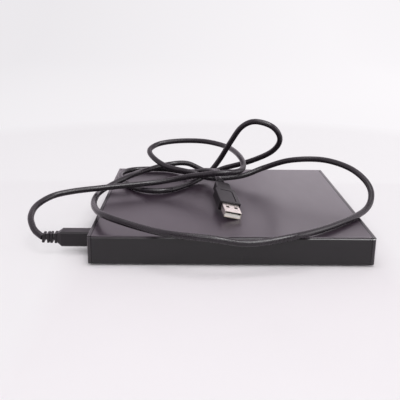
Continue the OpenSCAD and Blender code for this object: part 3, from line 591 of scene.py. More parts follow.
@dataclass(frozen=True)
class CordJacket(Finish):
    """Extruded cord jacket: satin, with slow waves along it and fine scuffs."""

    bend: float = 1.45
    scuff_size: float = 1.3 * MM
    grime_size: float = 12 * MM
    grime_gain: float = 1.9
    gleam_size: float = 22 * MM
    grain: float = 0.25 * MM
    depth: float = 0.0015 * MM
    wave_size: float = 7 * MM
    wave_depth: float = 0.04 * MM

    def build(self) -> bpy.types.Material:
        """Makes the material."""
        r = Recipe(self.name)
        grime = r.span(r.noise(self.grime_size, 3.0), 0.45, 0.75, 0.0, 0.5)
        tone = r.tint(grime, self.colour, shade(self.colour, self.grime_gain))
        rough = r.maths("ADD", self.uneven(r, r.noise(self.scuff_size, 5.0), 0.05, 0.06),
                        r.span(r.noise(self.gleam_size, 2.0), 0.4, 0.7, 0.0, 0.05))
        relief = r.bump(r.noise(self.grain, 2.0), self.depth,
                        r.bump(r.noise(self.wave_size, 1.0), self.wave_depth))
        return r.finish(base_color=tone, roughness=rough, normal=relief, ior=self.bend)


CASE_DARK = MouldedPlastic("case_dark", (0.0052, 0.0038, 0.0052), 0.36, dust=0.12)
CASE_TOP = SmoothPlastic("case_top", (0.0300, 0.0190, 0.0290), 0.29, bend=1.62)
END_PANEL = SmoothPlastic("case_dark", (0.0080, 0.0058, 0.0080), 0.29, bend=1.60)
FEET_RUBBER = Rubber("feet_rubber", (0.012, 0.012, 0.013), 0.75)
SCREW_STEEL = TurnedMetal("screw_steel", (0.20, 0.20, 0.21), 0.36)
BOARD_GREEN = SolderMask("board_green", (0.008, 0.055, 0.026), 0.32)
BOARD_BLUE = SolderMask("board_blue", (0.010, 0.045, 0.105), 0.32, copper=(0.05, 0.13, 0.17))
CHIP_BLACK = MouldedPlastic("chip_black", (0.018, 0.018, 0.020), 0.55, dust=0.1)
PLUG_METAL = SheetMetal("plug_metal", (0.86, 0.81, 0.74), 0.30, brush=Along.Y)
CONTACT_PLASTIC = MouldedPlastic("contact_plastic", (0.86, 0.83, 0.78), 0.42, mottle=0.03,
                                 dust=0.05)
CONNECTOR_BLACK = MouldedPlastic("connector_black", (0.016, 0.016, 0.018), 0.5, dust=0.1)
CONTACT_GOLD = SheetMetal("plug_metal", (0.80, 0.56, 0.24), 0.26, brush=Along.Y)
BRACKET_STEEL = SheetMetal("bracket_steel", (0.46, 0.47, 0.48), 0.42, spangle=0.25)
LOADER_STEEL = SheetMetal("loader_steel", (0.52, 0.53, 0.54), 0.38, spangle=0.35)
RAIL_STEEL = SheetMetal("rail_steel", (0.60, 0.60, 0.59), 0.28)
RIBBON_FILM = FilmRibbon("ribbon_film", (0.40, 0.11, 0.018), 0.28)
TRAY_BLACK = MouldedPlastic("tray_black", (0.017, 0.017, 0.019), 0.48, grain=0.5 * MM,
                            depth=0.012 * MM)
BEZEL_BLACK = MouldedPlastic("bezel_black", (0.018, 0.0175, 0.019), 0.40)
PLATE_STEEL = SheetMetal("plate_steel", (0.50, 0.51, 0.52), 0.36, brush=Along.Y)
DAMPER_RUBBER = Rubber("damper_rubber", (0.060, 0.016, 0.020), 0.7)
PAD_RUBBER = Rubber("pad_rubber", (0.016, 0.016, 0.018), 0.62)
ROD_CHROME = TurnedMetal("rod_chrome", (0.72, 0.72, 0.73), 0.12)
MOTOR_ZINC = TurnedMetal("motor_zinc", (0.52, 0.52, 0.50), 0.30)
COIL_COPPER = WoundCoil("coil_copper", (0.52, 0.20, 0.06), 0.32)
NATURAL_PLASTIC = ClearPart("natural_plastic", (0.72, 0.68, 0.58), 0.35, through=0.12)
SPRING_STEEL = TurnedMetal("spring_steel", (0.60, 0.60, 0.60), 0.25)
LIGHT_PIPE = ClearPart("light_pipe", (0.50, 0.72, 0.46), 0.12)
HUB_ALUMINIUM = TurnedMetal("hub_aluminium", (0.62, 0.62, 0.63), 0.26)
SLED_CAST = TurnedMetal("sled_cast", (0.26, 0.27, 0.28), 0.48, pits=0.5 * MM, depth=0.02 * MM)
LENS_GLASS = ClearPart("lens_glass", (0.45, 0.55, 0.85), 0.02, through=0.9, bend=1.52)
PLUG_PLASTIC = MouldedPlastic("plug_plastic", (0.0052, 0.0036, 0.0052), 0.36, grain=0.45 * MM,
                              depth=0.008 * MM, dust=0.10, bend=1.44)
CORD_JACKET = CordJacket("cord_jacket", (0.0112, 0.0082, 0.0112), 0.26)


class Palette:
    """Makes each finish's material once."""

    def __init__(self) -> None:
        """Starts with no materials."""
        self.made: dict[Finish, bpy.types.Material] = {}

    def material(self, finish: Finish) -> bpy.types.Material:
        """The material of a finish.

        Args:
            finish: The finish.

        Returns:
            Its material, which is made the first time.
        """
        if finish not in self.made:
            self.made[finish] = finish.build()
        return self.made[finish]

    def dress(self, finish: Finish, *nodes: str) -> None:
        """Gives CAD nodes, which keep their shape, the material of a finish.

        Args:
            finish: The finish.
            nodes: The nodes' names.
        """
        for node in nodes:
            part = frame["nodes"][node]
            if not part.data.materials:
                part.data.materials.append(None)
            for slot in part.material_slots:
                slot.material = self.material(finish)
            log.info("dressed %s in %s", node, finish.name)


palette = Palette()


# Shapes


def linked(name: str, data: bpy.types.ID) -> bpy.types.Object:
    """Puts a new object into the scene.

    Args:
        name: Its name.
        data: The mesh, curve, lamp or camera that it holds.

    Returns:
        The object.
    """
    made = bpy.data.objects.new(name, data)
    bpy.context.scene.collection.objects.link(made)
    return made


def paper_object(name: str, shape: bmesh.types.BMesh,
                 material: bpy.types.Material) -> bpy.types.Object:
    """Turns a shape of the studio into an object.

    Args:
        name: The object's name.
        shape: The shape, which is freed.
        material: Its material.

    Returns:
        The object.
    """
    mesh = bpy.data.meshes.new(name)
    shape.to_mesh(mesh)
    shape.free()
    mesh.materials.append(material)
    return linked(name, mesh)


def level_edge(shape: bmesh.types.BMesh, half: float, y: float, z: float) -> bmesh.types.BMEdge:
    """Adds an edge along X whose middle is over the frame's Y axis."""
    return shape.edges.new([shape.verts.new((side * half, y, z)) for side in (-1, 1)])


def pull_edges(shape: bmesh.types.BMesh, edges: Sequence[bmesh.types.BMEdge],
               move: Sequence[float]) -> list[bmesh.types.BMEdge]:
    """Draws faces out of edges.

    Args:
        shape: The shape that the edges are in.
        edges: The edges.
        move: How far the faces reach.

    Returns:
        The edges made at their far side.
    """
    made = bmesh.ops.extrude_edge_only(shape, edges=edges)["geom"]
    corners = [g for g in made if isinstance(g, bmesh.types.BMVert)]
    bmesh.ops.translate(shape, vec=move, verts=corners)
    return [g for g in made if isinstance(g, bmesh.types.BMEdge)]


class Mould:
    """A bmesh being shaped, with the few steps that the pieces share."""

    def __init__(self) -> None:
        """Starts empty."""
        self.mesh = bmesh.new()

    @classmethod
    def of_node(cls, node: str) -> "Mould":
        """A welded copy of a CAD node's mesh, with its flat faces joined.

        Args:
            node: The node's name.

        Returns:
            The copy, ready to be shaped further.
        """
        mould = cls()
        loose = frame["nodes"][node].data.copy()
        if "custom_normal" in loose.attributes:
            loose.attributes.remove(loose.attributes["custom_normal"])
        mould.mesh.from_mesh(loose)
        bpy.data.meshes.remove(loose)
        bmesh.ops.remove_doubles(mould.mesh, verts=mould.mesh.verts, dist=WELD)
        bmesh.ops.dissolve_limit(mould.mesh, angle_limit=FLAT_WITHIN, verts=mould.mesh.verts,
                                 edges=mould.mesh.edges)
        return mould

    def box(self, low: Sequence[float], high: Sequence[float]) -> list[bmesh.types.BMVert]:
        """Adds a box.

        Args:
            low: Its lowest corner.
            high: The corner opposite to it.

        Returns:
            Its corners.
        """
        start, end = Vector(low), Vector(high)
        corners = bmesh.ops.create_cube(self.mesh, size=1.0)["verts"]
        bmesh.ops.scale(self.mesh, vec=end - start, verts=corners)
        bmesh.ops.translate(self.mesh, vec=(start + end) / 2, verts=corners)
        return corners

    def slab(self, half: float, ends: Sequence[float], levels: Sequence[float],
             middle: float = 0.0) -> None:
        """Adds a box by its half width, its ends along Y and its levels along Z."""
        self.box((middle - half, ends[0], levels[0]), (middle + half, ends[1], levels[1]))

    def rod(self, start: Sequence[float], axis: Along, radius: float, length: float,
            sides: int = 32) -> list[bmesh.types.BMVert]:
        """Adds a rod.

        Args:
            start: Middle of its first end.
            axis: Direction that it runs in.
            radius: Its radius.
            length: Its length.
            sides: Number of its sides.

        Returns:
            Its corners.
        """
        turn = Vector((0, 0, 1)).rotation_difference(Vector(axis.value)).to_matrix().to_4x4()
        middle = Matrix.Translation(Vector(start) + Vector(axis.value) * length / 2)
        return bmesh.ops.create_cone(self.mesh, cap_ends=True, segments=sides, radius1=radius,
                                     radius2=radius, depth=length, matrix=middle @ turn)["verts"]

    def soften(self, width: float, steps: int = 2, least: float = 0.0,
               chosen: Callable[[bmesh.types.BMEdge], bool] | None = None) -> None:
        """Rounds the sharp edges.

        Args:
            width: Distance that the rounding takes from each face.
            steps: Number of its facets.
            least: Length under which an edge is left sharp.
            chosen: Test that says which of the sharp edges are rounded.
        """
        edges = [e for e in self.mesh.edges
                 if e.is_manifold and e.calc_face_angle(0.0) > SOFTEN_ABOVE
                 and e.calc_length() >= least and (chosen is None or chosen(e))]
        bmesh.ops.bevel(self.mesh, geom=edges, offset=width, offset_type="OFFSET", segments=steps,
                        profile=0.5, affect="EDGES", clamp_overlap=True, material=-1)

    def push(self, faces: Iterable[bmesh.types.BMFace],
             move: Sequence[float]) -> list[bmesh.types.BMVert]:
        """Pushes faces along a direction, with walls left round them.

        Args:
            faces: The faces.
            move: How far they go.

        Returns:
            Their corners.
        """
        old = list(faces)
        moved = bmesh.ops.extrude_face_region(self.mesh, geom=old)["geom"]
        corners = [g for g in moved if isinstance(g, bmesh.types.BMVert)]
        bmesh.ops.translate(self.mesh, vec=Vector(move), verts=corners)
        bmesh.ops.delete(self.mesh, geom=[f for f in old if f.is_valid], context="FACES_ONLY")
        return corners

    def cut(self, point: Sequence[float], normal: Sequence[float]) -> None:
        """Cuts all faces along a plane without removing anything.

        Args:
            point: A point of the plane.
            normal: Direction that the plane faces.
        """
        everything = [*self.mesh.verts, *self.mesh.edges, *self.mesh.faces]
        bmesh.ops.bisect_plane(self.mesh, geom=everything, dist=WELD, plane_co=Vector(point),
                               plane_no=Vector(normal))

    def move(self, matrix: Matrix) -> None:
        """Moves everything by a matrix."""
        bmesh.ops.transform(self.mesh, matrix=matrix, verts=self.mesh.verts)

    def finish(self, name: str, finish: Finish, body: str,
               replaces: Sequence[str] = ()) -> bpy.types.Object:
        """Turns the shape into a piece of the object.

        Args:
            name: The piece's name.
            finish: Its finish, whose material it is given.
            body: The body that it rides on.
            replaces: CAD nodes that it stands for.

        Returns:
            The piece.
        """
        for face in self.mesh.faces:
            face.smooth = True
        for edge in self.mesh.edges:
            edge.smooth = edge.is_manifold and edge.calc_face_angle(0.0) < SMOOTH_BELOW
        mesh = bpy.data.meshes.new(name)
        self.mesh.to_mesh(mesh)
        self.mesh.free()
        mesh.materials.clear()
        mesh.materials.append(palette.material(finish))
        piece = linked(name, mesh)
        piece.modifiers.new("even_shading", "WEIGHTED_NORMAL").keep_sharp = True
        return register(piece, body, replaces)


def register(piece: bpy.types.Object, body: str,
             replaces: Sequence[str] = ()) -> bpy.types.Object:
    """Tells the frame what a piece rides on, and hides the CAD nodes that it stands for.

    Returns:
        The piece.
    """
    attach(piece, str(body.value if isinstance(body, Body) else body))
    if replaces:
        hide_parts(*replaces)
    log.info("made %s", piece.name)
    return piece


def rounded_copy(node: str, finish: Finish, width: float, steps: int = 2, least: float = 0.0,
                 chosen: Callable[[bmesh.types.BMEdge], bool] | None = None) -> bpy.types.Object:
    """A copy of a CAD node with its sharp edges rounded, which stands for the node.

    Args:
        node: The node's name.
        finish: The copy's finish.
        width: Width of the rounding.
        steps: Number of its facets.
        least: Length under which an edge is left sharp.
        chosen: Test that says which of the sharp edges are rounded.

    Returns:
        The copy.
    """
    mould = Mould.of_node(node)
    mould.soften(width, steps, least, chosen)
    return mould.finish(f"{node}_finished", finish, frame["nodes"][node]["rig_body"], (node,))


# Camera and studio


@dataclass
class PhotoCamera:
    """The camera that took the photograph, worked out from the box's corners."""

    place: Point = (-0.02511, -0.45195, 0.15334)
    pitch: float = math.radians(16.748)
    yaw: float = math.radians(0.732)
    roll: float = math.radians(0.611)
    lens: float = 55.248
    sensor: float = 36.0
    clip: Pair = (0.01, 20.0)

    def build(self) -> None:
        """Makes the camera and sets it as the scene's."""
        data = bpy.data.cameras.new("photo_camera")
        data.lens = self.lens
        data.sensor_width = self.sensor
        data.clip_start, data.clip_end = self.clip
        camera = linked("photo_camera", data)
        ahead = Vector((math.sin(self.yaw) * math.cos(self.pitch),
                        math.cos(self.yaw) * math.cos(self.pitch), -math.sin(self.pitch)))
        level = Vector((math.cos(self.yaw), -math.sin(self.yaw), 0.0))
        upright = level.cross(ahead)
        right = math.cos(self.roll) * level + math.sin(self.roll) * upright
        up = -math.sin(self.roll) * level + math.cos(self.roll) * upright
        camera.matrix_world = Matrix.Translation(self.place) @ Matrix(
            (right, up, -ahead)).transposed().to_4x4()
        bpy.context.scene.camera = camera
        log.info("made the camera")


@dataclass(frozen=True)
class Lamp:
    """A soft square lamp that faces a target and that the camera doesn't see."""

    name: str
    place: Point
    target: Point
    size: float
    power: float
    gloss_only: bool = False

    def build(self) -> None:
        """Makes the lamp."""
        data = bpy.data.lights.new(self.name, "AREA")
        data.shape = "SQUARE"
        data.size = self.size
        data.energy = self.power
        lamp = linked(self.name, data)
        facing = (Vector(self.target) - Vector(self.place)).to_track_quat("-Z", "Y")
        lamp.matrix_world = Matrix.Translation(self.place) @ facing.to_matrix().to_4x4()
        lamp.visible_camera = False
        lamp.visible_diffuse = not self.gloss_only


@dataclass
class Studio:
    """Paper sweep, soft lamps over, before and behind the box, two for gloss, and a surround."""

    half_width: float = 3.0
    front: float = -2.5
    back: float = 1.6
    curve: float = 0.9
    curve_steps: int = 24
    height: float = 2.4
    lamps: tuple[Lamp, ...] = (
        Lamp("overhead", (0.0, -0.05, 1.10), ORIGIN, 0.55, 2.6),
        Lamp("key", (0.15, -1.1, 0.72), ORIGIN, 1.0, 9.0),
        Lamp("back_right", (0.75, 1.45, 0.55), ORIGIN, 1.2, 1.5),
        Lamp("gloss_strip", (0.46, -0.52, 1.10), (0.05, 0.0, 0.0), 0.46, 8.0, gloss_only=True),
        Lamp("gloss_side", (1.5, -0.35, 0.45), (0.0, 0.0, 0.03), 1.1, 8.0, gloss_only=True))
    paper: Colour = (0.875, 0.838, 0.866)
    roughness: float = 0.9
    sheen: float = 0.1
    cloud_size: float = 0.09
    cloud_dim: float = 0.985
    speck_size: float = 0.085
    speck_edge: Pair = (0.0095, 0.005)
    speck_share: float = 0.75
    speck_dim: float = 0.35
    # Painted light: the glow that the camera and gloss see runs from far_left to far_right, so the
    # paper looks more brightly lit towards the right
    far_left: Colour = (0.845, 0.825, 0.850)
    far_right: Colour = (0.990, 0.965, 0.990)
    far_sides: Pair = (-0.60, 0.50)
    glow_reach: Pair = (0.15, 0.50)
    # Painted light: the paper glows for the camera and gloss beside and behind the box, which lifts
    # the box's shadows there
    beside: Pair = (0.093, 0.115)
    beside_glow: float = 0.62
    behind: Pair = (0.09, 0.12)
    behind_glow: float = 0.80
    # Painted shade: far away the glow dims a little towards a darker shade of far_left
    haze_reach: Pair = (0.8, 2.6)
    haze: float = 0.4
    haze_dim: float = 0.97
    surround: Colour = (0.52, 0.5122, 0.52)
    gloss: Colour = (0.95, 0.87, 0.95)
    gloss_tint: Colour = (1.0, 0.91, 0.99)
    card: Colour = (0.33, 0.31, 0.33)
    card_half_width: float = 1.6
    card_foot: Pair = (-1.3, 0.02)
    card_rise: Point = (0.0, 0.1, 0.7)

    def build(self) -> None:
        """Makes the sweep, the lamps, the card and the world."""
        self.sweep()
        for lamp in self.lamps:
            lamp.build()
        self.dark_card()
        self.world()
        bpy.context.scene.view_settings.view_transform = "Standard"
        log.info("made the studio")

    def sweep(self) -> None:
        """A floor that curves up into a backdrop."""
        shape = bmesh.new()
        edge = level_edge(shape, self.half_width, self.front, 0.0)
        rim = pull_edges(shape, [edge], (0, self.back - self.front, 0))
        bend = bmesh.ops.spin(shape, geom=rim, cent=(0, self.back, self.curve), axis=(1, 0, 0),
                              angle=math.radians(90), steps=self.curve_steps,
                              use_merge=False)["geom_last"]
        wall_edge = [g for g in bend if isinstance(g, bmesh.types.BMEdge)]
        pull_edges(shape, wall_edge, (0, 0, self.height))
        for face in shape.faces:
            face.smooth = True
        paper_object("paper_sweep", shape, self.paper_material())

    def paper_material(self) -> bpy.types.Material:
        """Pale paper that keeps the shadows in front of the object and fades into a near-white glow
        for the camera and gloss. The glow is painted light: it covers the shadows beside and behind
        the box, grows brighter towards the right and dims a little far away.
        """
        r = Recipe("paper")
        cloud = r.tint(r.spread(r.noise(self.cloud_size, 3.0)), self.paper,
                       shade(self.paper, self.cloud_dim))
        speck = r.span(r.cells(self.speck_size), *self.speck_edge, 0.0, self.speck_share)
        tone = r.tint(speck, cloud, shade(self.paper, self.speck_dim))
        r.feed(r.shader.inputs["Base Color"], tone)
        r.feed(r.shader.inputs["Roughness"], self.roughness)
        r.feed(r.shader.inputs["Specular IOR Level"], self.sheen)
        path = r.add("ShaderNodeLightPath")
        seen = r.maths("MAXIMUM", path.outputs["Is Camera Ray"],
                       r.maths("MAXIMUM", path.outputs["Is Glossy Ray"],
                               path.outputs["Is Transmission Ray"]))
        length = r.add("ShaderNodeVectorMath")
        length.operation = "LENGTH"
        r.join(r.place, length.inputs[0])
        reach = length.outputs["Value"]
        # Painted light: glow beside and behind the box covers its shadows there
        beside = r.span(r.maths("ABSOLUTE", r.axis(Along.X)), *self.beside, 0.0, self.beside_glow)
        behind = r.span(r.axis(Along.Y), *self.behind, 0.0, self.behind_glow)
        share = r.maths("MAXIMUM", r.span(reach, *self.glow_reach, 0.0, 1.0),
                        r.maths("MAXIMUM", beside, behind))
        # Painted light: the glow grows brighter towards the right
        side = r.span(r.axis(Along.X), *self.far_sides, 0.0, 1.0)
        # Painted shade: the glow dims a little far away
        deep = r.span(reach, *self.haze_reach, 0.0, 1.0)
        bright = r.tint(side, self.far_left, self.far_right)
        far_shaded = r.tint(r.maths("MULTIPLY", deep, self.haze), bright,
                      shade(self.far_left, self.haze_dim))
        glow = r.add("ShaderNodeEmission")
        tinted = r.tint(path.outputs["Is Glossy Ray"], far_shaded, self.gloss_tint, Blend.MULTIPLY)
        r.join(tinted, glow.inputs["Color"])
        mix = r.add("ShaderNodeMixShader")
        r.join(r.maths("MULTIPLY", share, seen), mix.inputs[0])
        r.join(r.shader.outputs[0], mix.inputs[1])
        r.join(glow.outputs[0], mix.inputs[2])
        r.join(mix.outputs[0], r.out.inputs["Surface"])
        return r.material

    def dark_card(self) -> None:
        """A dark card behind the camera, seen in gloss only, so that dark parts stay deep."""
        shape = bmesh.new()
        pull_edges(shape, [level_edge(shape, self.card_half_width, *self.card_foot)],
                   self.card_rise)
        material = Recipe("black_card").finish(base_color=self.card, roughness=self.roughness)
        card = paper_object("dark_card", shape, material)
        card.visible_camera = False
        card.visible_diffuse = False
        card.visible_shadow = False
        card.visible_transmission = False

    def world(self) -> None:
        """A plain surround, with one colour for the camera and another for gloss."""
        world = bpy.data.worlds.new("surround")
        world.use_nodes = True
        bpy.context.scene.world = world
        tree = world.node_tree
        tree.nodes.clear()
        path = tree.nodes.new("ShaderNodeLightPath")
        shader = None
        for colour, ray in ((self.surround, None), (self.far_left, "Is Camera Ray"),
                            (self.gloss, "Is Glossy Ray")):
            plain = tree.nodes.new("ShaderNodeBackground")
            plain.inputs["Color"].default_value = (*colour, 1.0)
            if ray is None:
                shader = plain.outputs[0]
                continue
            mix = tree.nodes.new("ShaderNodeMixShader")
            tree.links.new(path.outputs[ray], mix.inputs[0])
            tree.links.new(shader, mix.inputs[1])
            tree.links.new(plain.outputs[0], mix.inputs[2])
            shader = mix.outputs[0]
        out = tree.nodes.new("ShaderNodeOutputWorld")
        tree.links.new(shader, out.inputs["Surface"])


# USB lead


@dataclass(frozen=True)
class CornerLine:
    """The line engraved along the grip's right and back sides, with its corner bevelled."""

    wide: float = 0.70 * MM
    left: float = -4.4 * MM
    right: float = 4.5 * MM
    front: float = -39.8 * MM
    back: float = -23.0 * MM
    bevel: float = 2.0 * MM
    depth: float = 1.0 * MM

    def engrave(self, mould: Mould, level: float) -> None:
        """Cuts the line into the grip's top.

        Args:
            mould: The grip, lying along Y.
            level: Height of its top.
        """
        slant = Vector((1, 1, 0)).normalized()
        outer = Vector((self.right, self.back - self.bevel, 0)).dot(slant)
        for x in (self.left, self.right - self.wide, self.right):
            mould.cut((x, 0, 0), Along.X.value)
        for y in (self.back, self.back - self.wide, self.front):
            mould.cut((0, y, 0), Along.Y.value)
        for reach in (outer, outer - self.wide):
            mould.cut(slant * reach, slant)
        chosen = []
        for face in mould.mesh.faces:
            c = face.calc_center_median()
            over = c.dot(slant)
            inside = (self.left < c.x < self.right and self.front < c.y < self.back
                      and over < outer)
            rim = (c.x > self.right - self.wide or c.y > self.back - self.wide
                   or over > outer - self.wide)
            if c.z > level - NEAR and inside and rim:
                chosen.append(face)
        mould.push(chosen, (0, 0, -self.depth))


@dataclass
class FreePlug:
    """The lead's free plug, shaped with the cord's end at the origin and its front towards -Y.

    A pair of levels runs along Z. Insets are counted from the tongue's tip, and the block's and
    the contacts' ends from the grip's front.
    """

    place: Matrix
    half_width: float = 7.6 * MM
    half_height: float = 3.7 * MM
    front: float = -42 * MM
    back: float = -21 * MM
    waist: float = 5.7 * MM
    waist_height: float = 3.2 * MM
    shoulder: float = 2.6 * MM
    taper: float = 1.6 * MM
    taper_shrink: Pair = (0.90, 0.96)
    neck_back: float = -8 * MM
    grip_round: float = 0.7 * MM
    relief_round: float = 0.3 * MM
    line: CornerLine = CornerLine()
    shell_half_width: float = 6 * MM
    shell_half_height: float = 2.25 * MM
    shell_length: float = 12 * MM
    shell_hidden: float = 3.8 * MM
    fold: float = 0.45 * MM
    sheet_thick: float = 0.3 * MM
    window_middle: float = 3.0 * MM
    window_half: float = 1.2 * MM
    window_ends: Pair = (-6.1 * MM, -3.7 * MM)
    core_hidden: float = 3.6 * MM
    core_round: float = 0.12 * MM
    tongue_half: float = 5.65 * MM
    tongue_inset: float = 0.35 * MM
    tongue_levels: Pair = (-1.92 * MM, 0.25 * MM)
    block_half: float = 5.6 * MM
    block_front: float = -2.6 * MM
    block_levels: Pair = (0.2 * MM, 1.9 * MM)
    step_half: float = 5.5 * MM
    step_inset: float = 1.2 * MM
    step_levels: Pair = (0.1 * MM, 0.36 * MM)
    contact_half: float = 0.5 * MM
    contact_back: float = -2.0 * MM
    contact_levels: Pair = (0.3 * MM, 0.48 * MM)
    contact_round: float = 0.05 * MM
    contacts: tuple[Pair, ...] = (
        (-3.5 * MM, 3.0 * MM), (-1.0 * MM, 3.4 * MM), (1.0 * MM, 3.4 * MM), (3.5 * MM, 3.0 * MM))

    def build(self) -> list[bpy.types.Object]:
        """Makes the plug's pieces: grip, relief, metal shell, tongue, block and contacts."""
        relief = rounded_copy("plug_a_relief", PLUG_PLASTIC, self.relief_round)
        return [self.grip(), relief, self.shell(), *self.core()]

    def grip(self) -> bpy.types.Object:
        """Grip with a long waist behind it, and an engraved corner line on its top."""
        mould = Mould()
        mould.box((-self.half_width, self.front, -self.half_height),
                  (self.half_width, self.back, self.half_height))
        waist = self.neck_back - self.back - self.shoulder - self.taper
        for reach, across, up in ((self.shoulder, self.waist / self.half_width,
                                   self.waist_height / self.half_height),
                                  (waist, 1.0, 1.0), (self.taper, *self.taper_shrink)):
            back = max(mould.mesh.faces, key=lambda f: f.calc_center_median().y)
            corners = mould.push([back], (0, reach, 0))
            bmesh.ops.scale(mould.mesh, vec=(across, 1.0, up), verts=corners)
        mould.soften(self.grip_round, 4)
        self.line.engrave(mould, self.half_height)
        mould.move(self.place)
        return mould.finish("plug_a_grip_finished", PLUG_PLASTIC, Body.LEAD, ("plug_a_grip",))

    def shell(self) -> bpy.types.Object:
        """Folded metal shell, open in front, with two windows in its top."""
        mould = Mould()
        mould.slab(self.shell_half_width,
                   (self.front - self.shell_length, self.front + self.shell_hidden),
                   (-self.shell_half_height, self.shell_half_height))
        ends = [f for f in mould.mesh.faces if abs(f.normal.y) > 0.9]
        bmesh.ops.delete(mould.mesh, geom=ends, context="FACES_ONLY")
        folds = [e for e in mould.mesh.edges if not e.is_boundary]
        bmesh.ops.bevel(mould.mesh, geom=folds, offset=self.fold, segments=4, profile=0.5,
                        affect="EDGES", clamp_overlap=True, material=-1)
        for middle in (-self.window_middle, self.window_middle):
            for edge in (-self.window_half, self.window_half):
                mould.cut((middle + edge, 0, 0), Along.X.value)
        near, far = (self.front + end for end in self.window_ends)
        for y in (near, far):
            mould.cut((0, y, 0), Along.Y.value)
        holes = []
        for face in mould.mesh.faces:
            c = face.calc_center_median()
            if (c.z > self.shell_half_height - NEAR and near < c.y < far
                    and abs(abs(c.x) - self.window_middle) < self.window_half):
                holes.append(face)
        bmesh.ops.delete(mould.mesh, geom=holes, context="FACES")
        bmesh.ops.solidify(mould.mesh, geom=list(mould.mesh.faces), thickness=self.sheet_thick)
        mould.move(self.place)
        return mould.finish("plug_a_shell_finished", PLUG_METAL, Body.LEAD, ("plug_a_shell",))

    def core(self) -> list[bpy.types.Object]:
        """Tongue with its block behind it, and the four contacts on it. The block is the back wall
        of the slot over the tongue, and its black is painted shade for the dark deep in the slot.
        """
        tip = self.front - self.shell_length + self.tongue_inset
        hidden = self.front + self.core_hidden
        rest = self.front + self.contact_back
        tongue = Mould()
        tongue.slab(self.tongue_half, (tip, hidden), self.tongue_levels)
        tongue.soften(self.core_round)
        # Painted shade: the block is black so that the deep of the slot over the tongue looks dark
        block = Mould()
        block.slab(self.block_half, (self.front + self.block_front, hidden), self.block_levels)
        block.soften(self.core_round)
        block.slab(self.step_half, (tip + self.step_inset, rest), self.step_levels)
        contacts = Mould()
        for x, inset in self.contacts:
            contacts.slab(self.contact_half, (tip + inset, rest), self.contact_levels, x)
        contacts.soften(self.contact_round)
        for mould in (tongue, block, contacts):
            mould.move(self.place)
        return [tongue.finish("plug_a_core_finished", CONTACT_PLASTIC, Body.LEAD, ("plug_a_core",)),
                block.finish("plug_a_block", CONNECTOR_BLACK, Body.LEAD),
                contacts.finish("plug_a_contacts", CONTACT_GOLD, Body.LEAD)]


